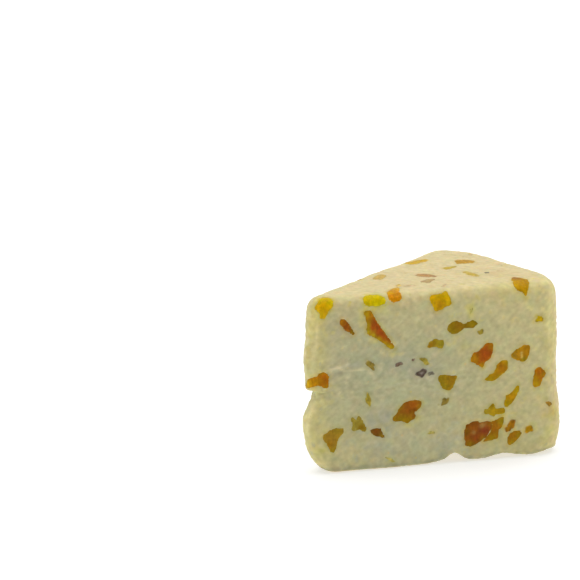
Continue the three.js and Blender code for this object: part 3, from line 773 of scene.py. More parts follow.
@dataclass(frozen=True)
class PasteFinish:
    """The cheese itself: pale cream, duller on the cut faces and warmer on the crust and the rims.

    Attributes:
        crust: colour of the rind, the top and the underside
        cut, heart: colour of the cut faces, and the greyer colour of their middle, partly the paste's own
            tone and partly painted shade
        rim, edge: colour of the tip, and the colour of the painted highlight along the top edge
        rind_deep, rind_fade: how far in the rind's colour begins, and over how far it comes up
        top_deep, top_fade: the same of the top's colour, counted down from it
        foot_tall: up to what height the underside's colour reaches
        heart_at, heart_size: distance from the sharp tip and height of the greyer middle, and its size
        tip_reach, tip_fade: how far from the sharp tip its colour reaches, and over how far it fades
        edge_highlight_run, edge_highlight_wide, edge_highlight_share: run up the profile, width and strength
        of the painted highlight along the top edge foot_shade_tall, foot_shade_fade, foot_shade_share: up to
        what height the foot takes a painted shade, over how far that fades, and how strong it is
        tip_cloud, foot_shade_cloud: how uneven the tip's colour and the height of the painted foot shade are
        mark_shading_gain: how strongly a drag mark's height is painted, as highlight where it stands up and
            as shade where it is sunk
        fray: how frayed the patches are
        mottle, blotch: strength of the wide light and dark patches, and of the small ones off the top
        warmth: strength of the warm and cool patches, as a share of the mottle
    """

    crust: Colour = (0.675, 0.562, 0.298)
    cut: Colour = (0.620, 0.552, 0.274)
    heart: Colour = (0.444, 0.440, 0.262)
    rim: Colour = (0.640, 0.575, 0.262)
    edge: Colour = (0.705, 0.628, 0.318)
    rind_deep: float = 6.5
    rind_fade: float = 5.0
    top_deep: float = 4.5
    top_fade: float = 4.0
    foot_tall: float = 0.6
    heart_at: tuple[float, float] = (36.0, 35.0)
    heart_size: tuple[float, float] = (36.0, 24.0)
    tip_reach: float = 16.5
    tip_fade: float = 7.0
    tip_cloud: float = 0.25
    edge_highlight_run: float = 63.0
    edge_highlight_wide: float = 2.6
    edge_highlight_share: float = 0.6
    foot_shade_tall: float = 2.6
    foot_shade_fade: float = 1.6
    foot_shade_cloud: float = 0.4
    foot_shade_share: float = 0.75
    mark_shading_gain: float = 5.0
    fray: float = 0.35
    mottle: float = 0.03
    warmth: float = 0.45
    blotch: float = 0.035
    cloud_waves: WaveField = WaveField(21, 4, 14)
    mottle_waves: WaveField = WaveField(22, 2, 9)
    warm_waves: WaveField = WaveField(23, 3, 10)
    frayed_waves: WaveField = WaveField(24, 1.8, 6)
    blotch_waves: WaveField = WaveField(26, 1.2, 3.6)

    def paint(self, skin: Skin, wheel: Wheel) -> Array:
        """Colours of the cheese without its stains.

        The top, the rind and the underside take the crust's colour, the cut faces their own with a greyer
        heart that is partly painted shade, and the tip the rim's. The top edge takes a painted highlight and
        the foot a painted shade all round. Over these come the drag marks, painted highlight where they stand
        up and painted shade where they are sunk, and the patches, some of their own tone and some painted
        light and shade.

        Args:
            skin: the surface
            wheel: its sizes
        Returns:
            one linear colour for each point
        """
        x, y, z = np.moveaxis(skin.points, -1, 0)
        depth = np.hypot(x, y)
        up, around = skin.run[:, None], round_run(skin.points, skin.along)
        rind = smooth_step((depth - wheel.radius + self.rind_deep) / self.rind_fade)
        top = smooth_step((z - wheel.height + self.top_deep) / self.top_fade)
        foot = np.maximum(smooth_step((self.foot_tall - z) / self.foot_tall), smooth_step(-up))
        # The greyer middle of the cut faces: partly the paste's own tone, partly painted shade
        heart = bell(depth - self.heart_at[0], self.heart_size[0])
        heart = heart * bell(z - self.heart_at[1], self.heart_size[1])
        cloud = self.cloud_waves.at(skin.points)
        tip = smooth_step((self.tip_reach - depth) / self.tip_fade)
        tip = tip * (1 - self.tip_cloud + self.tip_cloud * cloud)
        # Painted highlight along the top edge
        edge = self.edge_highlight_share * bell(up - self.edge_highlight_run, self.edge_highlight_wide) * np.ones_like(z)
        # Painted shade along the foot, up to a low uneven height: it stands for the shadow where the cheese
        # meets the floor
        painted_foot_shade = smooth_step((self.foot_shade_tall - z + self.foot_shade_cloud * cloud) / self.foot_shade_fade)
        painted_foot_shade = self.foot_shade_share * painted_foot_shade * (1 - foot)
        # Drag marks painted by their height: painted highlight where they stand up, painted shade where they
        # are sunk
        marks = self.mark_shading_gain * Crumb().drawn(skin.points, around, up)
        colour = np.array(self.cut) + (np.array(self.heart) - self.cut) * heart[..., None]
        layers = [
            (tip, self.rim), (np.clip(rind + top + foot, 0, 1), self.crust), (edge, self.edge),
            # The painted foot shade in grey olive, then the drag marks' painted highlight and painted shade
            (painted_foot_shade, OLIVE_GREY), (np.maximum(marks, 0), HIGHLIGHT_MILK), (np.maximum(-marks, 0), GROOVE_SHADE),
        ]
        unrolled = np.stack(np.broadcast_arrays(around, up), axis=-1)
        frayed = 1 + self.fray * self.frayed_waves.at(skin.points)
        for along, rise, wide, tall, tone, share in TONE_AND_SHADE_PATCHES:
            gap = np.linalg.norm((unrolled - spread((along, rise))) / (wide, tall), axis=-1)
            layers.append((share * bell(gap * frayed, 1), tone))
        for share, tone in layers:
            colour = colour + (np.array(tone) - colour) * np.clip(share, 0, 1)[..., None]
        light = 1 + self.mottle * self.mottle_waves.at(skin.points)
        light += self.blotch * (1 - np.clip(top, 0, 1)) * self.blotch_waves.at(skin.points)
        warm = self.mottle * self.warmth * self.warm_waves.at(skin.points)
        hue = np.stack([1 + warm, 1 - 0.5 * warm, np.ones_like(warm)], axis=-1)
        return colour * light[..., None] * hue

    def material(self) -> bpy.types.Material:
        """A dull, slightly translucent paste with a fine crumbly bump."""
        shader = Shader("cheese_paste", roughness=0.6, specular=0.2)
        shader.translucent(weight=0.5, radius=(1.0, 0.72, 0.36), scale=0.002)
        shader.speckled_paint(scale=700, share=0.06)
        shader.specks(scale=170, size=0.1, strength=0.6)
        shader.bump([(450, 3.0, 0.4), (1700, 2.0, 0.3)], deep=0.00025)
        return shader.material


@dataclass(frozen=True)
class FruitFinish:
    """Candied fruit of one slot: its usual flesh, the paler rim where it is thin, and its gloss.

    Attributes:
        slot: the record's material slot
        flesh, rim: its usual colour, and its colour where it is thin
        roughness, coat: of the surface, and the strength of its thin wet layer
        given: the share of each colour that the flesh gives back
    """

    slot: Slot
    flesh: Colour
    rim: Colour
    roughness: float = 0.34
    coat: float = 0.012
    given: Colour = (0.84, 0.80, 0.5)

    def material(self) -> bpy.types.Material:
        """A moist, translucent flesh with fine fibres in its bump."""
        shader = Shader(f"candied_{self.slot.value}", roughness=self.roughness, specular=0.04)
        shader.translucent(weight=0.3, radius=(1.0, 0.45, 0.12), scale=0.0012)
        shader.speckled_paint(scale=900, share=0.16)
        shader.bump([(900, 2.0, 0.5), (2600, 2.0, 0.25)], deep=0.00012)
        shader.coat(self.coat, roughness=0.22)
        return shader.material


FINISHES = {
    finish.slot: finish
    for finish in (
        FruitFinish(Slot.YELLOW, (0.82, 0.52, 0.006), (0.80, 0.60, 0.03)),
        FruitFinish(Slot.ORANGE, (0.60, 0.235, 0.008), (0.62, 0.37, 0.015)),
        FruitFinish(Slot.RED, (0.42, 0.11, 0.016), (0.50, 0.26, 0.015)),
        FruitFinish(Slot.OCHRE, (0.60, 0.33, 0.006), (0.58, 0.40, 0.02)),
        FruitFinish(Slot.OLIVE, (0.37, 0.22, 0.012), (0.43, 0.33, 0.06), roughness=0.42),
        FruitFinish(Slot.TAN, (0.47, 0.29, 0.07), (0.56, 0.42, 0.14), roughness=0.42),
    )
}


# Tones of the specks, each with the place on the ramp where it begins
SPECK_TONES = (
    (0.0, (0.40, 0.35, 0.12)), (0.35, (0.66, 0.55, 0.16)), (0.7, (0.72, 0.50, 0.22)),
)


class Shader:
    """A Principled material that takes its colour from the mesh's own paint."""

    def __init__(self, name: str, roughness: float, specular: float) -> None:
        """Starts the material.

        Args:
            name: the material's name
            roughness: of the surface
            specular: strength of its plain shine
        """
        self.material = bpy.data.materials.new(name)
        self.material.use_nodes = True
        self.tree = self.material.node_tree
        self.body = self.tree.nodes["Principled BSDF"]
        self.body.inputs["Roughness"].default_value = roughness
        self.body.inputs["Specular IOR Level"].default_value = specular
        self.place = self.tree.nodes.new("ShaderNodeTexCoord").outputs["Object"]

    def node(self, kind: str, **settings: object) -> bpy.types.Node:
        """Adds a node.

        Args:
            kind: its type
            settings: its properties, or its inputs where they name one
        Returns:
            the node
        """
        made = self.tree.nodes.new(kind)
        for name, value in settings.items():
            if name in made.inputs:
                made.inputs[name].default_value = value
            else:
                setattr(made, name, value)
        return made

    def noise(self, scale: float, detail: float) -> bpy.types.NodeSocket:
        """A noise of so many cells a metre over the object."""
        made = self.node("ShaderNodeTexNoise", Scale=scale, Detail=detail)
        self.tree.links.new(self.place, made.inputs["Vector"])
        return made.outputs["Fac"]

    def mapped(self, source: bpy.types.NodeSocket, limits: tuple[float, ...]) -> bpy.types.NodeSocket:
        """A value brought from one range to another.

        Args:
            source: the value
            limits: the two ends of the range it comes from, and those of the range it is brought to
        Returns:
            the value in its new range
        """
        made = self.node("ShaderNodeMapRange")
        for name, value in zip(("From Min", "From Max", "To Min", "To Max"), limits):
            made.inputs[name].default_value = value
        self.tree.links.new(source, made.inputs["Value"])
        return made.outputs["Result"]

    def mixed(self, first: bpy.types.NodeSocket, second: bpy.types.NodeSocket, blend: str) -> bpy.types.Node:
        """Lays one colour over another and makes the result the material's own.

        Args:
            first: the colour below
            second: the colour above
            blend: how they are mixed
        Returns:
            the node, whose first input is the share of the colour above
        """
        made = self.node("ShaderNodeMix", data_type="RGBA", blend_type=blend)
        self.tree.links.new(first, made.inputs[6])
        self.tree.links.new(second, made.inputs[7])
        self.tree.links.new(made.outputs[2], self.body.inputs["Base Color"])
        return made

    def translucent(self, weight: float, radius: Colour, scale: float) -> None:
        """Lets light wander inside: how much of it, how far each colour goes, and the scale in metres."""
        self.body.inputs["Subsurface Weight"].default_value = weight
        self.body.inputs["Subsurface Radius"].default_value = radius
        self.body.inputs["Subsurface Scale"].default_value = scale

    def coat(self, weight: float, roughness: float) -> None:
        """Adds a thin wet layer."""
        self.body.inputs["Coat Weight"].default_value = weight
        self.body.inputs["Coat Roughness"].default_value = roughness

    def speckled_paint(self, scale: float, share: float) -> None:
        """The mesh's paint, made lighter and darker in fine grains.

        The noise seldom strays far from its middle, so only its middle part is stretched to the grains.

        Args:
            scale: grains a metre
            share: how far the grains stray from the paint
        """
        paint = self.node("ShaderNodeAttribute", attribute_name="paint")
        grains = self.mapped(self.noise(scale, detail=3.0), (0.3, 0.7, 1 - share, 1 + share))
        self.mixed(paint.outputs["Color"], grains, "MULTIPLY").inputs[0].default_value = 1.0

    def specks(self, scale: float, size: float, strength: float) -> None:
        """Lays a few tiny round specks of fruit over the colour.

        Each cell of a Voronoi texture has one at its middle, full over half of its radius; the cell's own
        random colour says how strong the speck is and which of the tones it takes.

        Args:
            scale: cells a metre
            size: radius of a speck as a share of a cell
            strength: share of the speck's tone at its middle
        """
        cells = self.node("ShaderNodeTexVoronoi", Scale=scale)
        self.tree.links.new(self.place, cells.inputs["Vector"])
        parts = self.node("ShaderNodeSeparateColor")
        self.tree.links.new(cells.outputs["Color"], parts.inputs["Color"])
        share = self.node("ShaderNodeMath", operation="MULTIPLY")
        masks = (
            self.mapped(cells.outputs["Distance"], (size * 0.5, size, strength, 0)),
            self.mapped(parts.outputs["Green"], (0.3, 0.6, 0, 1)),
        )
        for mask, socket in zip(masks, share.inputs):
            self.tree.links.new(mask, socket)
        tones = self.node("ShaderNodeValToRGB")
        ramp = tones.color_ramp
        ramp.interpolation = "CONSTANT"
        for position, tone in SPECK_TONES:
            stop = ramp.elements.new(position) if position else ramp.elements[0]
            stop.color = (*tone, 1)
        ramp.elements.remove(ramp.elements[-1])
        self.tree.links.new(parts.outputs["Red"], tones.inputs["Fac"])
        base = self.body.inputs["Base Color"].links[0].from_socket
        over = self.mixed(base, tones.outputs["Color"], "MIX")
        self.tree.links.new(share.outputs[0], over.inputs[0])

    def bump(self, layers: list[tuple[float, float, float]], deep: float) -> None:
        """A bump of several noises.

        Args:
            layers: each noise's scale, detail and strength
            deep: their depth in metres
        """
        normal = None
        for scale, detail, strength in layers:
            made = self.node("ShaderNodeBump", Strength=strength, Distance=deep)
            self.tree.links.new(self.noise(scale, detail), made.inputs["Height"])
            if normal is not None:
                self.tree.links.new(normal, made.inputs["Normal"])
            normal = made.outputs["Normal"]
        self.tree.links.new(normal, self.body.inputs["Normal"])


@dataclass(frozen=True)
class Look:
    """How one piece of fruit strays from its slot's finish.

    Attributes:
        flesh: its own flesh colour
        blots: soft spots of other colours, each an unrolled place, a width and a colour
        rim: its own rim colour
        stain: how strongly it stains the cheese round it
        outline: its drawn outline, run round and run up of each point in turn, or none to take the CAD
            node's
    """

    flesh: Colour | None = None
    blots: tuple[tuple[float, float, float, Colour], ...] = ()
    rim: Colour | None = None
    stain: float = 0.3
    outline: tuple[float, ...] = ()


LEMON_FLESH: Colour = (0.74, 0.60, 0.002)
GOLD_FLESH: Colour = (0.80, 0.47, 0.003)
ORANGE_FLESH: Colour = (0.74, 0.31, 0.003)
OCHRE_FLESH: Colour = (0.60, 0.33, 0.004)
AMBER_FLESH: Colour = (0.52, 0.22, 0.005)
RED_FLESH: Colour = (0.44, 0.095, 0.012)
WINE_FLESH: Colour = (0.33, 0.065, 0.025)
OLIVE_FLESH: Colour = (0.34, 0.21, 0.008)
PALE_FLESH: Colour = (0.66, 0.52, 0.20)

LOOKS = {
    "front_yellow_corner": Look(
        GOLD_FLESH, stain=0.5, blots=(
            (15.6, 61.6, 2.0, LEMON_FLESH), (12.4, 57.4, 1.8, (0.66, 0.44, 0.004)),
            (10.6, 62.8, 1.4, LEMON_FLESH),
        ), outline=(
            8.8, 59.6, 9.6, 61.2, 10.0, 63.0, 10.8, 64.6, 12.6, 65.2, 14.5, 64.6, 16.0, 63.0, 16.5, 61.3,
            16.1, 59.8, 15.0, 58.6, 14.0, 57.3, 13.5, 56.0, 12.4, 55.6, 11.4, 56.4, 11.0, 57.8, 10.0, 58.7,
        ),
    ),
    "front_lemon_bar": Look(
        LEMON_FLESH, rim=(0.72, 0.62, 0.03), stain=0.5, blots=((28.4, 61.4, 1.8, (0.80, 0.62, 0.002)),),
        outline=(
            27.3, 60.4, 27.4, 62.3, 28.5, 63.6, 30.7, 63.9, 32.7, 63.5, 34.4, 62.7, 35.4, 61.5, 35.5, 60.1,
            34.6, 59.2, 32.3, 58.9, 29.7, 59.0, 27.9, 59.2,
        ),
    ),
    "front_orange_bead": Look(
        ORANGE_FLESH, rim=(0.72, 0.38, 0.02), blots=(
            (37.4, 64.4, 1.2, GOLD_FLESH), (35.6, 70.4, 3.0, (0.80, 0.50, 0.10)),
        ), outline=(
            36.3, 61.0, 36.3, 62.8, 36.5, 64.8, 36.0, 66.6, 34.9, 68.2, 34.0, 70.0, 34.7, 71.2, 37.8, 69.4,
            39.8, 67.2, 41.2, 65.2, 41.3, 63.2, 41.2, 61.2, 40.4, 60.0, 38.6, 59.6, 37.0, 60.0,
        ),
    ),
    "front_ochre_square": Look(
        (0.70, 0.47, 0.004), rim=(0.64, 0.42, 0.01), blots=(
            (54.5, 57.6, 2.4, (0.62, 0.33, 0.004)), (51.6, 61.0, 1.4, GOLD_FLESH),
        ), outline=(
            50.8, 60.4, 51.2, 61.6, 53.0, 61.9, 55.2, 62.2, 56.4, 62.8, 57.2, 63.6, 57.7, 62.2, 58.3, 60.4,
            58.8, 58.6, 58.6, 57.4, 57.0, 56.9, 55.4, 56.1, 53.8, 55.6, 52.5, 55.8, 51.9, 57.4, 51.2, 59.0,
        ),
    ),
    "front_ochre_wedge": Look(
        (0.58, 0.32, 0.004), blots=(
            (84.4, 62.0, 1.6, (0.58, 0.33, 0.004)), (82.6, 62.8, 1.2, GOLD_FLESH),
            (95.4, 72.0, 2.6, (0.42, 0.20, 0.05)), (90, 71.5, 1.8, (0.46, 0.22, 0.04)),
            (85.6, 58.6, 1.6, (0.74, 0.42, 0.004)),
        ), outline=(
            82.0, 61.2, 81.7, 63.2, 82.1, 65.2, 84.9, 68.1, 88.8, 70.8, 94.4, 72.9, 96.9, 72.6, 94.4, 70.3,
            90.4, 67.1, 88.1, 65.1, 87.7, 63.0, 86.8, 60.8, 86.4, 58.6, 85.7, 57.9, 84.5, 59.2, 83.1, 60.2,
        ),
    ),
    "front_red_sliver": Look(
        (0.38, 0.11, 0.010), rim=(0.42, 0.24, 0.03), stain=0.35, blots=(
            (19.2, 54.4, 1.1, AMBER_FLESH), (23.4, 50.6, 1.2, OLIVE_FLESH),
        ), outline=(
            18.2, 54.8, 19.1, 55.7, 20.5, 55.2, 21.7, 54.0, 22.8, 52.4, 23.6, 50.9, 24.2, 49.6, 23.2, 49.6,
            21.8, 50.6, 20.5, 51.3, 19.6, 52.6, 18.6, 53.6,
        ),
    ),
    "front_red_streak": Look(
        RED_FLESH, rim=(0.52, 0.30, 0.01), stain=0.5, blots=(
            (28.6, 50.4, 1.5, (0.52, 0.42, 0.02)), (28.6, 52.6, 1.0, (0.52, 0.38, 0.02)),
            (30.6, 48.9, 1.2, (0.52, 0.40, 0.02)), (32.6, 47.2, 1.1, (0.54, 0.40, 0.01)),
            (34.4, 45.7, 1.0, (0.56, 0.40, 0.01)), (36.2, 44.3, 1.1, (0.58, 0.42, 0.01)),
            (38.2, 43.4, 1.6, (0.60, 0.47, 0.01)), (28.2, 56.4, 2.0, (0.54, 0.37, 0.008)),
            (30.4, 56.2, 1.1, AMBER_FLESH),
        ), outline=(
            27.2, 57.5, 28.4, 58.1, 29.7, 57.6, 30.6, 56.4, 31.4, 54.7, 32.7, 52.6, 34.2, 50.4, 35.6, 48.3,
            37.1, 46.0, 38.6, 43.8, 38.9, 42.7, 37.9, 42.7, 36.0, 44.1, 34.0, 45.8, 32.2, 47.2, 30.4, 48.3,
            28.9, 49.0, 28.2, 50.4, 28.2, 52.4, 28.2, 54.4, 27.4, 56.0,
        ),
    ),
    "front_olive_pair": Look(
        OLIVE_FLESH, rim=(0.36, 0.27, 0.04), blots=(
            (59.2, 48.4, 1.8, (0.32, 0.23, 0.004)), (61.4, 50.0, 1.8, (0.33, 0.17, 0.008)),
            (66.6, 50.4, 1.4, (0.36, 0.25, 0.006)),
        ), outline=(
            57.3, 49.2, 57.5, 50.4, 58.4, 51.3, 60.0, 51.7, 61.8, 51.3, 63.3, 50.3, 64.6, 50.1, 65.4, 51.2,
            66.3, 51.9, 67.2, 51.1, 68.5, 50.2, 67.6, 49.2, 66.2, 48.4, 64.6, 48.6, 63.4, 48.7, 62.2, 47.8,
            60.6, 46.9, 59.0, 46.9, 57.8, 47.8,
        ),
    ),
    "front_olive_chip": Look(
        (0.44, 0.31, 0.020), blots=(
            (55.2, 43.6, 1.5, (0.40, 0.34, 0.03)), (51.2, 43.6, 1.2, (0.40, 0.20, 0.010)),
        ), outline=(
            50.0, 43.3, 50.4, 44.6, 51.6, 45.5, 52.8, 46.0, 54.0, 45.5, 55.6, 45.3, 56.4, 44.0, 56.0, 42.5,
            54.9, 41.9, 53.5, 42.7, 51.8, 42.7, 50.6, 42.4,
        ),
    ),
    "front_red_chunk": Look(
        (0.45, 0.11, 0.008), rim=(0.52, 0.29, 0.01), stain=0.4, blots=(
            (67.0, 37.6, 2.0, (0.54, 0.27, 0.006)), (71.2, 39.6, 1.8, RED_FLESH),
            (73.4, 41.6, 1.6, (0.46, 0.20, 0.006)), (69.8, 34.8, 1.2, OCHRE_FLESH),
        ), outline=(
            65.9, 36.6, 65.9, 38.2, 67.0, 39.8, 68.6, 40.3, 69.6, 41.2, 70.8, 42.6, 72.6, 42.9, 74.0, 42.5,
            74.1, 40.8, 73.7, 38.8, 72.8, 37.0, 71.4, 36.0, 70.6, 34.6, 69.8, 33.9, 68.6, 34.9, 67.5, 35.7,
        ),
    ),
    "front_amber_fan": Look(
        (0.50, 0.245, 0.006), blots=(
            (81.6, 37.6, 1.8, (0.36, 0.20, 0.02)), (84.2, 38.4, 0.5, PALE_FLESH),
            (84.3, 37.6, 0.5, PALE_FLESH), (84.4, 36.8, 0.5, PALE_FLESH),
            (85.2, 35.6, 1.2, (0.44, 0.32, 0.01)),
        ), outline=(
            80.2, 38.2, 81.6, 39.3, 83.4, 40.4, 85.0, 41.2, 86.6, 41.1, 87.6, 40.2, 87.4, 38.4, 86.8, 36.6,
            86.0, 35.3, 84.8, 35.0, 83.6, 35.4, 82.6, 35.8, 81.4, 36.4, 80.4, 37.2,
        ),
    ),
    "front_ochre_spindle": Look(
        (0.48, 0.24, 0.006), blots=(
            (72.4, 29.4, 2.0, (0.48, 0.33, 0.005)), (78.9, 35.0, 1.2, (0.44, 0.28, 0.005)),
            (76.8, 33.4, 1.8, (0.46, 0.19, 0.006)), (76.2, 30.2, 1.2, (0.50, 0.34, 0.005)),
        ), outline=(
            70.6, 29.7, 71.6, 30.6, 72.8, 31.6, 74.0, 32.0, 74.7, 33.4, 75.5, 35.2, 76.8, 36.1, 78.4, 36.2,
            79.6, 35.5, 79.4, 33.6, 78.7, 31.9, 77.4, 31.0, 76.0, 30.0, 74.6, 29.0, 73.2, 28.8, 71.8, 29.0,
        ),
    ),
    "front_amber_block": Look(
        (0.47, 0.13, 0.005), blots=(
            (90.9, 32.0, 1.0, (0.54, 0.20, 0.005)), (90.0, 26.6, 2.0, (0.52, 0.34, 0.005)),
            (88.8, 28.6, 1.3, (0.52, 0.31, 0.005)), (92.8, 30.0, 1.2, (0.50, 0.26, 0.008)),
        ), outline=(
            89.5, 32.2, 90.6, 32.9, 92.0, 32.1, 93.3, 30.8, 93.2, 29.4, 92.2, 28.0, 91.5, 26.2, 90.2, 25.3,
            89.0, 25.5, 88.4, 27.0, 88.7, 29.0, 89.0, 30.8,
        ),
    ),
    "front_ochre_spear": Look(
        (0.57, 0.31, 0.005), blots=(
            (83.0, 25.2, 1.6, (0.56, 0.38, 0.006)), (79.2, 20.2, 1.6, (0.52, 0.36, 0.006)),
        ), outline=(
            83.8, 26.7, 82.4, 26.3, 81.2, 24.9, 80.0, 23.8, 78.8, 23.2, 78.3, 21.6, 78.1, 20.0, 78.5, 19.1,
            79.6, 19.2, 81.0, 20.2, 82.2, 21.8, 83.1, 23.6, 83.9, 25.4,
        ),
    ),
    "front_olive_twin": Look(
        (0.54, 0.355, 0.012), rim=(0.50, 0.39, 0.03), blots=(
            (71.6, 18.4, 1.4, (0.50, 0.37, 0.04)), (77.2, 17.8, 1.4, (0.46, 0.29, 0.008)),
            (74.0, 20.0, 1.0, OLIVE_FLESH),
        ), outline=(
            70.7, 18.2, 71.0, 19.2, 72.4, 19.4, 73.3, 20.6, 74.5, 20.6, 75.0, 19.0, 76.4, 18.9, 77.8, 19.1,
            78.5, 18.0, 77.9, 16.6, 76.4, 16.5, 75.2, 16.6, 74.5, 15.9, 73.6, 16.2, 72.4, 16.9, 71.2, 16.9,
        ),
    ),
    "front_olive_trapezoid": Look(
        (0.40, 0.23, 0.010), rim=(0.44, 0.33, 0.03), blots=(
            (55.4, 31.4, 1.8, (0.36, 0.25, 0.012)), (56.4, 28.4, 1.6, (0.40, 0.29, 0.012)),
        ), outline=(
            54.0, 32.3, 56.0, 32.6, 58.4, 32.4, 60.0, 32.2, 61.2, 31.6, 60.6, 30.2, 60.2, 28.8, 59.5, 27.4,
            58.2, 26.7, 56.6, 26.9, 55.3, 28.2, 54.6, 29.8, 54.0, 31.0,
        ),
    ),
    "front_red_shard": Look(
        (0.36, 0.12, 0.012), rim=(0.42, 0.27, 0.012), stain=0.4, blots=(
            (40.0, 22.2, 1.8, (0.32, 0.18, 0.010)), (38.4, 18.4, 2.0, (0.36, 0.205, 0.010)),
            (43.4, 17.0, 2.2, (0.38, 0.23, 0.006)), (45.2, 22.8, 1.6, (0.44, 0.13, 0.008)),
            (40.8, 17.6, 1.6, (0.38, 0.25, 0.008)), (47.4, 22.2, 1.2, (0.42, 0.20, 0.010)),
        ), outline=(
            37.4, 17.7, 37.5, 18.8, 38.8, 20.0, 39.6, 21.6, 40.6, 23.0, 42.0, 23.9, 43.6, 24.4, 45.4, 24.5,
            47.2, 24.1, 48.5, 23.4, 48.2, 22.4, 47.2, 21.2, 46.5, 20.2, 45.6, 19.8, 46.0, 18.6, 45.5, 17.6,
            44.2, 16.9, 42.8, 16.1, 41.4, 16.8, 39.8, 17.2, 38.6, 17.2,
        ),
    ),
    "front_olive_ragged": Look(
        (0.44, 0.35, 0.070), rim=(0.44, 0.35, 0.07), blots=(
            (24.8, 15.8, 1.0, (0.52, 0.44, 0.12)), (26.6, 16.4, 1.4, OLIVE_FLESH),
        ), outline=(
            22.7, 19.8, 23.8, 20.1, 24.5, 18.9, 25.1, 20.2, 25.9, 20.5, 26.7, 19.2, 27.5, 17.6, 28.3, 16.0,
            27.9, 14.6, 26.6, 14.9, 25.8, 15.6, 24.8, 15.2, 23.6, 15.0, 23.1, 16.2, 23.4, 17.8,
        ),
    ),
    "front_brown_triangle": Look(
        (0.21, 0.095, 0.014), rim=(0.30, 0.17, 0.03), blots=(
            (33.6, 12.8, 1.2, (0.34, 0.22, 0.02)), (31.6, 14.8, 1.4, (0.26, 0.09, 0.012)),
        ), outline=(
            29.5, 15.2, 31.2, 15.7, 33.0, 15.5, 33.7, 14.4, 34.2, 13.0, 34.8, 11.8, 33.6, 11.9, 32.4, 12.5,
            31.2, 12.7, 30.3, 13.6, 29.5, 14.4,
        ),
    ),
    "front_tan_lump": Look(
        (0.44, 0.265, 0.035), rim=(0.50, 0.36, 0.05), blots=(
            (18.6, 15.8, 2.0, (0.44, 0.30, 0.03)), (15.0, 10.8, 1.4, (0.42, 0.22, 0.012)),
            (16.0, 8.6, 1.2, (0.46, 0.33, 0.02)),
        ), outline=(
            13.5, 14.6, 15.0, 15.5, 16.4, 16.5, 18.5, 16.9, 20.3, 16.5, 20.6, 15.0, 19.4, 13.9, 18.4, 12.5,
            17.8, 10.7, 17.2, 9.1, 16.2, 7.9, 14.9, 8.2, 14.7, 9.8, 14.1, 11.2, 13.3, 12.8,
        ),
    ),
    "front_dark_chunk": Look(
        (0.34, 0.11, 0.012), rim=(0.34, 0.16, 0.012), stain=0.4, blots=(
            (71.0, 11.2, 2.0, WINE_FLESH), (67.6, 8.8, 2.0, (0.35, 0.075, 0.015)),
            (65.6, 6.4, 1.8, (0.37, 0.21, 0.008)), (64.6, 11.4, 1.4, (0.33, 0.15, 0.010)),
            (73.0, 13.6, 1.3, (0.42, 0.17, 0.008)), (70.4, 8.0, 1.4, (0.36, 0.19, 0.008)),
            # These two pale blots are painted highlights on the chunk
            (67.1, 10.8, 0.8, (0.46, 0.26, 0.10)), (70.2, 13.1, 0.9, (0.54, 0.30, 0.12)),
        ), outline=(
            63.8, 12.9, 64.6, 14.0, 66.2, 14.6, 68.2, 14.9, 69.6, 14.3, 71.6, 14.6, 73.4, 14.4, 73.8, 13.1,
            73.4, 11.3, 72.4, 9.6, 70.9, 8.1, 69.0, 6.8, 66.8, 5.7, 64.8, 5.4, 63.8, 5.6, 63.6, 7.8,
            63.5, 10.2,
        ),
    ),
    "front_amber_chunk": Look(
        (0.48, 0.16, 0.008), rim=(0.40, 0.26, 0.012), stain=0.5, blots=(
            (73.6, 8.0, 2.2, (0.42, 0.27, 0.006)), (77.2, 13.8, 1.9, (0.46, 0.34, 0.006)),
            (75.2, 12.4, 1.3, (0.44, 0.19, 0.010)),
        ), outline=(
            73.6, 14.5, 75.0, 14.6, 76.1, 15.1, 77.1, 15.9, 78.0, 15.5, 78.1, 13.8, 77.5, 11.9, 76.4, 10.8,
            76.1, 9.2, 75.9, 7.6, 74.3, 7.1, 72.3, 7.0, 69.6, 6.8, 70.8, 8.0, 72.3, 9.5, 73.3, 11.3,
            73.6, 13.1,
        ),
    ),
    "front_amber_oval": Look(
        (0.42, 0.17, 0.010), rim=(0.44, 0.28, 0.015), blots=(
            (83.6, 8.4, 1.8, (0.42, 0.27, 0.008)), (81.0, 5.2, 1.8, (0.46, 0.30, 0.008)),
        ), outline=(
            79.6, 8.2, 80.4, 9.4, 82.0, 10.1, 83.6, 10.1, 84.8, 9.4, 84.4, 8.1, 83.4, 6.7, 82.2, 5.3,
            81.0, 4.3, 79.8, 3.9, 79.4, 5.4, 79.4, 7.0,
        ),
    ),
    "front_tip_chunk": Look(
        (0.49, 0.165, 0.006), rim=(0.56, 0.29, 0.012), blots=(
            (7.0, 32.4, 2.6, (0.68, 0.43, 0.005)), (10.4, 34.0, 1.6, (0.60, 0.29, 0.005)),
            (12.6, 36.8, 1.0, (0.48, 0.24, 0.010)), (14.0, 31.8, 0.9, (0.46, 0.25, 0.010)),
        ), outline=(
            4.3, 31.0, 5.3, 32.6, 7.4, 34.4, 9.2, 35.2, 10.8, 35.7, 12.0, 36.8, 13.4, 37.2, 14.6, 36.5,
            15.5, 35.6, 15.2, 34.0, 15.0, 32.4, 14.4, 31.1, 13.2, 31.2, 12.0, 32.2, 10.4, 32.2, 8.4, 31.1,
            6.2, 30.3,
        ),
    ),
    "top_orange_bar": Look((0.75, 0.48, 0.068), rim=(0.72, 0.52, 0.14)),
    "top_amber_bar": Look((0.64, 0.375, 0.082), rim=(0.70, 0.50, 0.17)),
    "top_yellow_sliver": Look((0.61, 0.46, 0.11), rim=(0.66, 0.52, 0.20)),
    "top_straw_chip": Look((0.65, 0.49, 0.15), rim=(0.69, 0.54, 0.24)),
    "top_rose_chip": Look((0.54, 0.325, 0.20), rim=(0.56, 0.40, 0.28)),
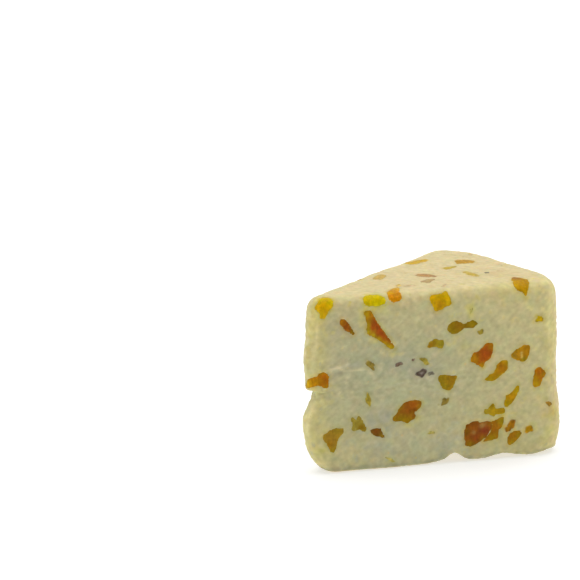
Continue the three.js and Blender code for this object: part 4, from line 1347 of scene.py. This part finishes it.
    "top_tan_chip": Look((0.51, 0.365, 0.25), rim=(0.57, 0.44, 0.33)),
    "top_ochre_chip": Look((0.69, 0.50, 0.22), rim=(0.70, 0.55, 0.28)),
}


# How far a stain reaches, how it is softened, and how uneven it is
STAIN_WIDE = 0.8
STAIN_POWER = 0.3
STAIN_UNEVEN = 0.5
STAIN_WAVES = WaveField(41, 1.5, 4)


def soak(skin: Skin, close: Array, tone: Array, stain: float, gap: Array) -> None:
    """Lets a fruit's colour soak into the cheese round it.

    The cheese's colour is multiplied by the fruit's, brought to full brightness and softened by a power
    below 1. The share of this falls off as a bell of the gap, and is uneven.

    Args:
        skin: the cheese's surface, whose colours are changed
        close: numbers of the grid points near the fruit
        tone: the fruit's colour
        stain: how strongly it stains
        gap: how far each point lies outside the fruit
    """
    uneven = 1 + STAIN_UNEVEN * STAIN_WAVES.at(skin.points.reshape(-1, 3)[close])
    share = np.clip(stain * uneven, 0, 1) * bell(np.maximum(0, gap), STAIN_WIDE)
    paint = skin.paint.reshape(-1, 3)
    paint[close] *= 1 + ((tone / tone.max()) ** STAIN_POWER - 1) * share[:, None]


@dataclass
class Fruit:
    """One piece of candied fruit, cut off level with the cheese's surface.

    Attributes:
        node: the CAD node that it replaces
        slot: the record's slot
        look: how it strays from its slot's finish
        rays, curve_steps: how many radii its outline is kept as, and points for each one drawn
        level_gap, level_turn: how near the surface a CAD face lies that is read as the outline, and how
            well its direction agrees with the surface's
        rim_uneven, rim_waves: share by which the outline's radius wanders, and its waves
        proud, sunk, edge: how far the face stands above the cheese, how far its edge lies below it, and
            over how far it rises from one to the other
        dome, dome_wide: how much further its middle rises, and over how far
        swell, swell_waves: height of the waves on it, and the waves
        under: size of its underside as a share of its outline
        below_rings, wall_rows: rows of the underside, as shares of its size, and rows up the wall
        over_rings: rows over the face, as shares of the way from the outline to the middle
        seat: how much shallower it is than its CAD node
        margin: how far past the outline the cheese is read and stained
        pocket: how deep the cheese's surface is let down under it
        pocket_start, pocket_fade: how far inside the outline that begins, and over how far it goes down
        rim_share, rim_wide: strength and width of the rim's colour
        cloud, clouding: how uneven the blots and the rim are, and the flesh's own light and dark
        fibre: strength of the fibres
        patch, rim, deep: the plane that it lies on, its radius at each angle, and its CAD node's depth
    """

    node: str
    slot: Slot
    look: Look
    rays: int = 96
    curve_steps: int = 8
    level_gap: float = 0.6
    level_turn: float = 0.5
    rim_uneven: float = 0.02
    rim_waves: WaveField = WaveField(40, 0.8, 3)
    proud: float = 0.04
    sunk: float = 0.035
    edge: float = 0.4
    dome: float = 0.06
    dome_wide: float = 1.5
    swell: float = 0.05
    swell_waves: WaveField = WaveField(42, 1.6, 4.5)
    under: float = 0.8
    below_rings: tuple[float, ...] = (0, 0.4, 0.75, 0.95)
    wall_rows: int = 6
    over_rings: tuple[float, ...] = (
        0, 0.012, 0.03, 0.06, 0.1, 0.15, 0.22, 0.3, 0.4, 0.5, 0.62, 0.74, 0.87, 1,
    )
    seat: float = 0.4
    margin: float = 4.0
    pocket: float = 1.1
    pocket_start: float = 0.3
    pocket_fade: float = 0.7
    rim_share: float = 0.6
    rim_wide: float = 0.4
    cloud: float = 0.15
    clouding: float = 0.06
    fibre: float = 0.05
    cloud_waves: WaveField = WaveField(43, 2, 6)
    fibre_waves: WaveField = WaveField(44, 0.5, 1.4, stretch=(1, 1, 4))
    patch: Patch = field(init=False)
    rim: Array = field(init=False)
    deep: float = field(init=False)

    def ring(self) -> tuple[Array, Array]:
        """The angles at which the radii are kept, and the directions there."""
        angles = np.arange(self.rays) * FULL_TURN / self.rays
        return angles, np.column_stack([np.cos(angles), np.sin(angles)])

    def node_triangles(self) -> tuple[Array, Array]:
        """The CAD node's vertices in millimetres from the sharp tip, merged, and its triangles."""
        mesh = frame["nodes"][self.node].data
        loose = np.zeros(len(mesh.vertices) * 3)
        mesh.vertices.foreach_get("co", loose)
        corners = np.zeros(len(mesh.loops), int)
        mesh.loops.foreach_get("vertex_index", corners)
        places = np.round(loose.reshape(-1, 3) / MM - TIP_PLACE, 3)
        points, merged = np.unique(places, axis=0, return_inverse=True)
        return points, merged.ravel()[corners].reshape(-1, 3)

    def node_outline(self, skin: Skin) -> Array:
        """The sides of the CAD node's face that lies in the cheese's surface; sets the patch.

        Args:
            skin: the cheese's surface
        Returns:
            the two ends of each side on the patch
        """
        points, faces = self.node_triangles()
        flat = skin.points.reshape(-1, 3)
        nearest = ((points[:, None] - flat[None]) ** 2).sum(axis=-1).argmin(axis=1)
        out = skin.normals.reshape(-1, 3)[nearest]
        height = ((points - flat[nearest]) * out).sum(axis=1)
        corner, second, third = (points[faces[:, i]] for i in range(3))
        across = np.cross(second - corner, third - corner)
        level = (np.abs(height[faces]) < self.level_gap).all(axis=1)
        level &= (unit(across) * out[faces[:, 0]]).sum(axis=1) > self.level_turn
        face, across = faces[level], across[level]
        size = np.linalg.norm(across, axis=1, keepdims=True)
        middle = (points[face].mean(axis=1) * size).sum(axis=0) / size.sum()
        self.patch = Patch(middle, unit(across.sum(axis=0)))
        sides = np.sort(face[:, [0, 1, 1, 2, 2, 0]].reshape(-1, 2), axis=1)
        sides, times = np.unique(sides, axis=0, return_counts=True)
        return self.patch.local(points)[sides[times == 1]][..., :2]

    def drawn_outline(self, skin: Skin) -> Array:
        """The sides of the drawn outline, rounded through its points; sets the patch.

        Between two points the curve is a cubic that leaves each along the line between its neighbours.

        Args:
            skin: the cheese's surface
        Returns:
            the two ends of each side on the patch
        """
        knots, normals = skin.place_at(spread(np.reshape(self.look.outline, (-1, 2))))
        share = (np.arange(self.curve_steps) / self.curve_steps)[:, None, None]
        after, next_after = np.roll(knots, -1, axis=0), np.roll(knots, -2, axis=0)
        leave, arrive = (after - np.roll(knots, 1, axis=0)) / 2, (next_after - knots) / 2
        square, cube = share**2, share**3
        curve = (2 * cube - 3 * square + 1) * knots + (3 * square - 2 * cube) * after
        curve = curve + (cube - 2 * square + share) * leave + (cube - square) * arrive
        curve = curve.transpose(1, 0, 2).reshape(-1, 3)
        patch = Patch(knots.mean(axis=0), unit(normals.sum(axis=0)))
        ends = patch.local(curve)[:, :2]
        cross = ends[:, 0] * np.roll(ends[:, 1], -1) - ends[:, 1] * np.roll(ends[:, 0], -1)
        middle = ((ends + np.roll(ends, -1, axis=0)) * cross[:, None]).sum(axis=0) / (3 * cross.sum())
        self.patch = Patch(patch.world(np.append(middle, 0)), patch.out)
        ends = self.patch.local(curve)[:, :2]
        return np.stack([ends, np.roll(ends, -1, axis=0)], axis=1)

    def read(self, skin: Skin) -> None:
        """Takes the piece's outline, drawn or from its CAD node, as a radius at each angle round its middle.

        Args:
            skin: the cheese's surface
        """
        ends = self.drawn_outline(skin) if self.look.outline else self.node_outline(skin)
        self.deep = float(np.ptp(self.patch.local(self.node_triangles()[0])[:, 2]))
        ray = self.ring()[1][:, None]
        start, run = ends[None, :, 0], ends[None, :, 1] - ends[None, :, 0]
        turn = ray[..., 0] * run[..., 1] - ray[..., 1] * run[..., 0]
        turn = np.where(np.abs(turn) < NEXT_TO_NOTHING, NEXT_TO_NOTHING, turn)
        reach = (start[..., 0] * run[..., 1] - start[..., 1] * run[..., 0]) / turn
        share = (start[..., 0] * ray[..., 1] - start[..., 1] * ray[..., 0]) / turn
        hit = (share >= -SLACK) & (share <= 1 + SLACK) & (reach > 0)
        radius = np.where(hit, reach, 0).max(axis=1)
        radius = 0.25 * np.roll(radius, 1) + 0.5 * radius + 0.25 * np.roll(radius, -1)
        at_rim = self.patch.world(np.column_stack([ray[:, 0] * radius[:, None], np.zeros(self.rays)]))
        self.rim = radius * (1 + self.rim_uneven * self.rim_waves.at(at_rim))

    def inside(self, places: Array) -> Array:
        """How far places lie inside the outline, in millimetres; below 0 they lie outside."""
        angles, directions = self.ring()
        ends = directions * self.rim[:, None]
        run = np.roll(ends, -1, axis=0) - ends
        flat = places.reshape(-1, 1, 2)
        share = np.clip(((flat - ends) * run).sum(axis=-1) / (run**2).sum(axis=-1), 0, 1)
        gap = np.linalg.norm(flat - ends - share[..., None] * run, axis=-1).min(axis=1)
        turn = np.arctan2(flat[:, 0, 1], flat[:, 0, 0])
        limit = np.interp(turn, angles, self.rim, period=FULL_TURN)
        within = np.linalg.norm(flat[:, 0], axis=-1) < limit
        return np.where(within, gap, -gap).reshape(places.shape[:-1])

    def reach(self) -> float:
        """The piece's longest radius and a margin."""
        return float(self.rim.max()) + self.margin

    def set_in(self, skin: Skin) -> None:
        """Lets the cheese's surface down under the piece and stains it round the outline.

        Args:
            skin: the cheese's surface, changed in place
        """
        close, local = skin.near(self.patch, self.reach())
        inside = self.inside(local[:, :2])
        drop = self.pocket * smooth_step((inside - self.pocket_start) / self.pocket_fade)
        skin.shown.reshape(-1, 3)[close] -= drop[:, None] * self.patch.out
        rim = np.array(self.look.rim or FINISHES[self.slot].rim)
        soak(skin, close, rim, self.look.stain, -inside)

    def build(self, skin: Skin, materials: dict[Slot, bpy.types.Material]) -> None:
        """Makes the piece: a closed form round its middle.

        The rows run from the middle of its underside out, up its wall and over its face to the middle. The
        face follows the cheese's surface, stands a little proud of it and eases under it along the
        outline.

        Args:
            skin: the cheese's surface
            materials: the materials by slot
        """
        below = np.array(self.below_rings) * self.under
        wall = np.linspace(0, 1, self.wall_rows)
        over = 1 - np.array(self.over_rings)
        share = np.concatenate([below, self.under + (1 - self.under) * wall, over[1:]])[:, None]
        places = share[..., None] * (self.rim[:, None] * self.ring()[1])[None]
        surface = skin.heights(self.patch, places, self.reach())
        inside = self.inside(places)
        risen = (self.sunk + self.proud) * smooth_step(inside / self.edge)
        lifted = -self.sunk + risen + self.dome * (1 - np.exp(-inside / self.dome_wide))
        grid = self.patch.world(np.concatenate([places, surface[..., None]], axis=-1))
        lifted += self.swell * smooth_step(inside) * self.swell_waves.at(grid)
        deep = self.deep - self.seat
        fall = np.concatenate([np.full(len(below), deep), self.sunk + (deep - self.sunk) * (1 - wall)])
        height = np.vstack([np.tile(-fall[:, None], self.rays), lifted[len(fall):]])
        grid = grid + height[..., None] * self.patch.out
        grid[..., 2] = np.maximum(grid[..., 2], 0)
        piece = Piece(f"{self.node}_flesh", grid, self.paint(skin, places, inside, grid))
        hand_over(piece.made(), [self.node], materials[self.slot])

    def paint(self, skin: Skin, places: Array, inside: Array, grid: Array) -> Array:
        """Colours of the piece: its flesh with soft blots, fibres across it, and a rim of its own.

        Args:
            skin: the cheese's surface, which says where the blots lie
            places: local places of its points
            inside: how far each lies inside the outline
            grid: the points
        Returns:
            one linear colour for each point
        """
        finish, look = FINISHES[self.slot], self.look
        colour = np.broadcast_to(np.array(look.flesh or finish.flesh), grid.shape)
        cloud = self.cloud_waves.at(grid)
        layers = []
        for along, run, wide, tone in look.blots:
            at = self.patch.local(skin.place_at(spread([(along, run)]))[0])[0, :2]
            gap = np.linalg.norm(places - at, axis=-1)
            layers.append((bell(gap * (1 + self.cloud * cloud), wide), tone))
        thin = self.rim_share * bell(np.maximum(inside, 0), self.rim_wide + self.cloud * cloud)
        layers.append((thin, look.rim or finish.rim))
        for share, tone in layers:
            colour = colour + (np.array(tone) - colour) * share[..., None]
        fibres = self.fibre_waves.at(grid)
        return colour * finish.given * (1 + self.clouding * cloud + self.fibre * fibres)[..., None]


# The plastic number spreads places evenly over a face, and the golden ratio sizes and turns
PLASTIC = 1.324717957244746
GOLDEN = 1.618033988749895
# The least and the greatest length, and the least and the greatest width as a share of it
FRUIT_SIZES = (5, 9.5, 0.5, 0.8)
FLECK_SIZES = (1.8, 4, 0.45, 0.8)


@dataclass(frozen=True)
class Strewing:
    """Fruit and flecks strewn over a hidden face, as the part strews them.

    Attributes:
        face: the face
        fruit: how many pieces of fruit come first
        flecks: how many flecks follow
        low, high: the lowest and the highest place along and up
        start: where the even spread begins
        apart, clear: how far apart two lie, as a share of their lengths added up and a clear gap
    """

    face: Face
    fruit: int
    flecks: int
    low: tuple[float, float]
    high: tuple[float, float]
    start: float
    apart: float = 0.42
    clear: float = 1.0

    def places(self) -> list[tuple[float, float, float, float, float]]:
        """The flecks as place along, place up, length, width and turn.

        Trial i lies at the parts past the point of its multiples of the plastic number's first two powers,
        and stays where it is clear of those before it.

        Returns:
            one row for each fleck
        """
        kept: list[tuple[float, float, float, float, float]] = []
        trial = 0
        while len(kept) < self.fruit + self.flecks:
            trial += 1
            short, long, slim, broad = FRUIT_SIZES if len(kept) < self.fruit else FLECK_SIZES
            length = short + (long - short) * fraction(self.start + trial / GOLDEN)
            share = slim + (broad - slim) * fraction(self.start + trial / GOLDEN**3)
            turn = -90 + 180 * fraction(self.start + trial / GOLDEN**2)
            a, b = (
                low + (high - low) * fraction(self.start + trial / PLASTIC**power)
                for power, low, high in zip((1, 2), self.low, self.high)
            )
            if all(
                math.hypot(a - row[0], b - row[1]) > (length + row[2]) * self.apart + self.clear
                for row in kept
            ):
                kept.append((a, b, length, length * share, turn))
        return kept[self.fruit:]


class Tint(Enum):
    """Colours of the flecks."""

    LEMON = (0.66, 0.52, 0.03)
    MUSTARD = (0.40, 0.31, 0.045)
    HONEY = (0.50, 0.335, 0.004)
    AMBER = (0.46, 0.24, 0.003)
    RUST = (0.40, 0.17, 0.004)
    TERRACOTTA = (0.39, 0.21, 0.025)
    OLIVE = (0.38, 0.285, 0.036)
    GINGER = (0.43, 0.32, 0.036)
    BRONZE = (0.28, 0.20, 0.034)
    # A pale grey painted as a highlight in the middle of a dark fleck
    PEARL_HIGHLIGHT = (0.29, 0.235, 0.185)
    PLUM = (0.22, 0.15, 0.10)
    DAMSON = (0.10, 0.065, 0.045)
    SLATE = (0.20, 0.18, 0.115)
    STRAW = (0.52, 0.44, 0.12)
    CLAY = (0.58, 0.44, 0.20)
    ROSE = (0.62, 0.44, 0.24)
    APRICOT = (0.70, 0.46, 0.12)


@dataclass(frozen=True)
class Fleck:
    """One small bit of fruit: its face, place, size, turn, colour, stain and the colour of its middle."""

    face: Face
    a: float
    b: float
    length: float
    width: float
    turn: float
    tint: Tint
    stain: float = 0.25
    heart: Tint | None = None


FRONT_FLECKS = (
    (69.3, 47.0, 2.3, 2.1, 0, Tint.OLIVE), (29.7, 38.4, 4.8, 2.3, -40, Tint.BRONZE),
    (39.9, 37.7, 3.0, 1.6, 8, Tint.PLUM), (45.0, 38.9, 1.3, 1.1, 0, Tint.PLUM),
    # The damson fleck's pale middle is a painted highlight
    (49.2, 38.1, 4.0, 2.2, -35, Tint.MUSTARD), (48.1, 33.9, 3.8, 3.3, 20, Tint.DAMSON, 0.5, Tint.PEARL_HIGHLIGHT),
    (51.4, 33.4, 2.5, 1.7, 0, Tint.SLATE), (56.6, 22.9, 3.8, 2.3, 50, Tint.BRONZE),
    (28.6, 25.9, 4.8, 2.2, -76, Tint.GINGER), (80.9, 12.6, 4.2, 2.7, 70, Tint.RUST),
    (79.7, 10.9, 2.8, 2.2, 30, Tint.RUST), (87.3, 10.3, 3.0, 3.4, 80, Tint.AMBER),
    (94.5, 19.1, 2.8, 1.8, -40, Tint.TERRACOTTA), (90.7, 50.1, 3.0, 2.7, 0, Tint.HONEY, 0.5),
    (65.8, 54.8, 2.4, 1.2, 75, Tint.STRAW), (51.5, 12.1, 2.8, 1.3, -10, Tint.STRAW),
    (36.6, 3.6, 3.6, 1.2, -30, Tint.STRAW),
)
TOP_FLECKS = (
    (81.4, 49.0, 2.4, 1.6, 70, Tint.CLAY), (78.2, 20.0, 3.0, 1.5, 50, Tint.SLATE),
    (83.6, 21.8, 2.4, 1.4, 0, Tint.CLAY), (46.6, 10.4, 5.0, 2.0, 10, Tint.ROSE),
    (58.4, 7.6, 4.2, 1.6, 65, Tint.ROSE), (88.0, 30.0, 3.0, 1.8, 30, Tint.CLAY),
    (42.8, 11.2, 3.2, 2.0, 50, Tint.APRICOT),
)
STREWN = (
    Strewing(Face.BACK, 12, 18, (17, 8), (91, 52), 0.35),
    Strewing(Face.RIND, 7, 9, (8, 9), (65, 51), 0.1),
)
STREWN_TINTS = (Tint.OLIVE, Tint.AMBER, Tint.STRAW, Tint.RUST, Tint.OLIVE, Tint.LEMON, Tint.CLAY, Tint.PLUM)


@dataclass
class Flecks:
    """All the small bits of fruit, joined in one piece, each a low pebble with an uneven outline.

    Attributes:
        around, over: points round each, and rows from its underside to its top
        height, sunk: how far it stands out of the cheese, and how far it reaches in
        bumps, wander: how many waves its outline wanders by, and the share by which each does
        margin: how far past it the cheese is read and stained
        heart_wide: width of its middle's colour, as a share of its size
        cheese_reach, cheese_share: how far round it the cheese's colour is read, and how strongly its rim
            takes that
        cheese_start, cheese_fade: where on the way out that begins, and over how far it comes up
        uneven, uneven_waves: how uneven its colour is, and the waves that make it so
        seed: number that the outlines are drawn from
    """

    around: int = 22
    over: int = 9
    height: float = 0.07
    sunk: float = 0.5
    bumps: int = 3
    wander: float = 0.12
    margin: float = 3.0
    heart_wide: float = 0.33
    cheese_reach: float = 1.5
    cheese_share: float = 0.5
    cheese_start: float = 0.8
    cheese_fade: float = 0.2
    uneven: float = 0.15
    uneven_waves: WaveField = WaveField(51, 0.8, 3)
    seed: int = 77

    def listed(self) -> list[Fleck]:
        """The flecks of the front and the top as listed, and those strewn over the hidden faces."""
        rows = [Fleck(Face.FRONT, *row) for row in FRONT_FLECKS]
        rows += [Fleck(Face.TOP, *row) for row in TOP_FLECKS]
        for strewing in STREWN:
            rows += [
                Fleck(strewing.face, *row, STREWN_TINTS[i % len(STREWN_TINTS)])
                for i, row in enumerate(strewing.places())
            ]
        return rows

    def build(self, skin: Skin, material: bpy.types.Material) -> None:
        """Makes the flecks and stains the cheese round them.

        Each is a flattened ball, deeper below the surface than above it: a ring at angle t up the ball has
        the outline drawn in by cos t and the height sin t, and the outline's radius wanders by a few waves.

        Args:
            skin: the cheese's surface, whose colours are changed
            material: the flecks' material
        """
        draws = np.random.default_rng(self.seed)
        angles = np.arange(self.around) * FULL_TURN / self.around
        rise = np.linspace(-math.pi / 2, math.pi / 2, self.over)[:, None]
        points, faces, paints = [], [], []
        for fleck in self.listed():
            patch = skin.patch_at(fleck.face, fleck.a, fleck.b)
            phases = draws.uniform(0, FULL_TURN, self.bumps)
            wander = 1 + sum(
                self.wander * np.cos((k + 2) * angles + phases[k]) for k in range(self.bumps)
            )
            cos, sin = math.cos(math.radians(fleck.turn)), math.sin(math.radians(fleck.turn))
            x = np.cos(angles) * wander * fleck.length / 2
            y = np.sin(angles) * wander * fleck.width / 2
            outline = np.stack([x * cos - y * sin, x * sin + y * cos], axis=-1)
            places = np.cos(rise)[..., None] * outline[None]
            lift = np.where(rise < 0, self.sunk, self.height) * np.sin(rise)
            surface = skin.heights(patch, places, fleck.length + self.margin)
            grid = patch.world(np.concatenate([places, (surface + lift)[..., None]], axis=-1))
            uneven = 1 + self.uneven * self.uneven_waves.at(grid)
            paint = self.paint(skin, patch, fleck, np.cos(rise)) * uneven[..., None]
            piece = Piece("fleck", grid, paint)
            start = sum(len(part) for part in points)
            points.append(piece.per_point(grid))
            faces += [[start + corner for corner in face] for face in piece.faces()]
            paints.append(piece.per_point(paint))
            self.stain(skin, patch, fleck, outline)
        made = make_object("fruit_flecks", np.vstack(points), faces, np.vstack(paints))
        hand_over(made, [], material)

    def paint(self, skin: Skin, patch: Patch, fleck: Fleck, out: Array) -> Array:
        """Colours of a fleck: its own, towards its middle another if it has one, and the cheese's at its rim.

        Args:
            skin: the cheese's surface
            patch: where the fleck lies
            fleck: the fleck
            out: how far out towards its outline each row of points lies
        Returns:
            one linear colour for each row
        """
        close, _ = skin.near(patch, self.cheese_reach)
        cheese = skin.paint.reshape(-1, 3)[close].mean(axis=0)
        own = np.array(fleck.tint.value)
        middle = np.array((fleck.heart or fleck.tint).value)
        colour = own + (middle - own) * bell(out, self.heart_wide)[..., None]
        edge = smooth_step((out[..., None] - self.cheese_start) / self.cheese_fade)
        return colour + (cheese - colour) * self.cheese_share * edge

    def stain(self, skin: Skin, patch: Patch, fleck: Fleck, outline: Array) -> None:
        """Stains the cheese round a fleck.

        Args:
            skin: the cheese's surface, whose colours are changed
            patch: where the fleck lies
            fleck: the fleck
            outline: its outline on the patch
        """
        close, local = skin.near(patch, fleck.length / 2 + self.margin)
        gap = np.linalg.norm(local[:, None, :2] - outline[None], axis=-1).min(axis=1)
        soak(skin, close, np.array(fleck.tint.value), fleck.stain, gap)


@dataclass
class CheeseWedge:
    """The wedge: its cheese, the fruit set in it and the flecks."""

    wheel: Wheel = field(default_factory=Wheel)
    wear: Wear = field(default_factory=Wear)
    crumb: Crumb = field(default_factory=Crumb)
    finish: PasteFinish = field(default_factory=PasteFinish)

    def outward(self, points: Array) -> Array:
        """Outward directions of a grid, from the steps to the points beside and above.

        Args:
            points: the grid
        Returns:
            one direction for each point
        """
        around = np.roll(points, -1, axis=1) - np.roll(points, 1, axis=1)
        normals = unit(np.cross(around, np.gradient(points, axis=0)))
        normals[0], normals[-1] = (0, 0, -1), (0, 0, 1)
        return normals

    def skin(self) -> Skin:
        """The cheese's surface with its fine relief, painted but without its fruit."""
        worn = self.wear.worn(self.wheel)
        normals = self.outward(worn)
        along, run = self.wheel.outline()[1], self.wheel.rows()[2]
        relief = self.crumb.relief(worn, normals, self.wear, round_run(worn, along), run[:, None])
        relief = np.where(worn[..., 2] < ON_FLOOR, 0, relief)
        relief[0], relief[-1] = relief[0].mean(), relief[-1].mean()
        points = worn + normals * relief[..., None]
        points[..., 2] = np.maximum(points[..., 2], 0)
        skin = Skin(points, self.outward(points), points.copy(), np.zeros_like(points), along, run)
        skin.paint = self.finish.paint(skin, self.wheel)
        return skin

    def build(self) -> None:
        """Makes the fruit and the flecks, and then the cheese with their pockets and stains."""
        skin = self.skin()
        materials = {slot: finish.material() for slot, finish in FINISHES.items()}
        slots = {row["node"]: Slot(row["material_slot"]) for row in frame["record"]["subparts"]}
        for node, slot in slots.items():
            if slot is not Slot.PASTE:
                fruit = Fruit(node, slot, LOOKS.get(node, Look()))
                fruit.read(skin)
                fruit.set_in(skin)
                fruit.build(skin, materials)
        Flecks().build(skin, materials[Slot.OLIVE])
        made = Piece("cheese_body", skin.shown, skin.paint).made()
        hand_over(made, ["cheese"], self.finish.material())


@dataclass(frozen=True)
class Lamp:
    """Light from one side of the sky: its name, where it comes from, its power and how wide it is."""

    name: str
    come_from: tuple[float, float, float]
    power: float
    degrees: float


@dataclass(frozen=True)
class Studio:
    """A plain pale floor, soft light and the camera.

    Attributes:
        floor_size, floor_drop: width of the floor, and how far it lies below the foot, in metres
        floor_shine, floor_glow: strength of its plain shine and of its own light
        lamp_distance: how far away the lamps are set, in metres
        sky: strength of the white sky
        place: where the camera stands, in metres
        azimuth, elevation, roll: how far it is turned, looks down and is tilted sideways, in degrees
        lens: its focal length in millimetres
    """

    floor_size: float = 12.0
    floor_drop: float = 0.0003
    floor_tone: Colour = (0.66, 0.66, 0.66)
    floor_roughness: float = 0.9
    floor_shine: float = 0.1
    floor_glow: float = 0.49
    lamps: tuple[Lamp, ...] = (
        Lamp("overhead_light", (0.05, 0.25, 1.0), 1.7, 70),
        Lamp("left_light", (-1.0, 0.15, 0.7), 0.6, 60),
        Lamp("right_light", (1.0, 0.15, 0.7), 0.6, 60),
    )
    lamp_distance: float = 0.5
    sky: float = 0.35
    place: tuple[float, float, float] = (-0.22158, -0.75249, 0.25315)
    azimuth: float = -13.1886
    elevation: float = 14.0962
    roll: float = -0.7878
    lens: float = 138.682

    def floor(self) -> None:
        """A wide dull plane just under the wedge."""
        bpy.ops.mesh.primitive_plane_add(size=self.floor_size, location=(0, 0, -self.floor_drop))
        plane = bpy.context.object
        plane.name = "floor"
        material = bpy.data.materials.new("floor")
        material.use_nodes = True
        body = material.node_tree.nodes["Principled BSDF"]
        body.inputs["Base Color"].default_value = (*self.floor_tone, 1)
        body.inputs["Roughness"].default_value = self.floor_roughness
        body.inputs["Specular IOR Level"].default_value = self.floor_shine
        body.inputs["Emission Color"].default_value = (1, 1, 1, 1)
        body.inputs["Emission Strength"].default_value = self.floor_glow
        plane.data.materials.append(material)

    def light(self, lamp: Lamp) -> None:
        """Hangs a lamp and turns it to the wedge."""
        data = bpy.data.lights.new(lamp.name, "SUN")
        data.energy, data.angle = lamp.power, math.radians(lamp.degrees)
        made = bpy.data.objects.new(lamp.name, data)
        made.location = Vector(lamp.come_from) * self.lamp_distance
        made.rotation_euler = (-Vector(lamp.come_from)).to_track_quat("-Z", "Y").to_euler()
        bpy.context.scene.collection.objects.link(made)

    def camera(self) -> None:
        """A long lens from the front, turned by azimuth, elevation and a slight roll."""
        data = bpy.data.cameras.new("camera")
        data.lens, data.sensor_width, data.clip_start = self.lens, 36, 0.01
        camera = bpy.data.objects.new("camera", data)
        camera.location = self.place
        tilt = Euler((math.radians(90 - self.elevation), 0, math.radians(self.azimuth))).to_quaternion()
        camera.rotation_mode = "QUATERNION"
        camera.rotation_quaternion = tilt @ Euler((0, 0, math.radians(self.roll))).to_quaternion()
        bpy.context.scene.collection.objects.link(camera)
        bpy.context.scene.camera = camera

    def build(self) -> None:
        """Sets the floor, the lights, the sky, the camera and the plain colour transform."""
        self.floor()
        for lamp in self.lamps:
            self.light(lamp)
        world = bpy.data.worlds.new("sky")
        world.use_nodes = True
        background = world.node_tree.nodes["Background"]
        background.inputs["Strength"].default_value = self.sky
        background.inputs["Color"].default_value = (1, 1, 1, 1)
        bpy.context.scene.world = world
        bpy.context.scene.view_settings.view_transform = "Standard"
        self.camera()


def main() -> None:
    """Builds the wedge and the studio."""
    logging.basicConfig(level=logging.INFO, format="%(name)s: %(message)s")
    CheeseWedge().build()
    Studio().build()


if __name__ == "__main__":
    main()
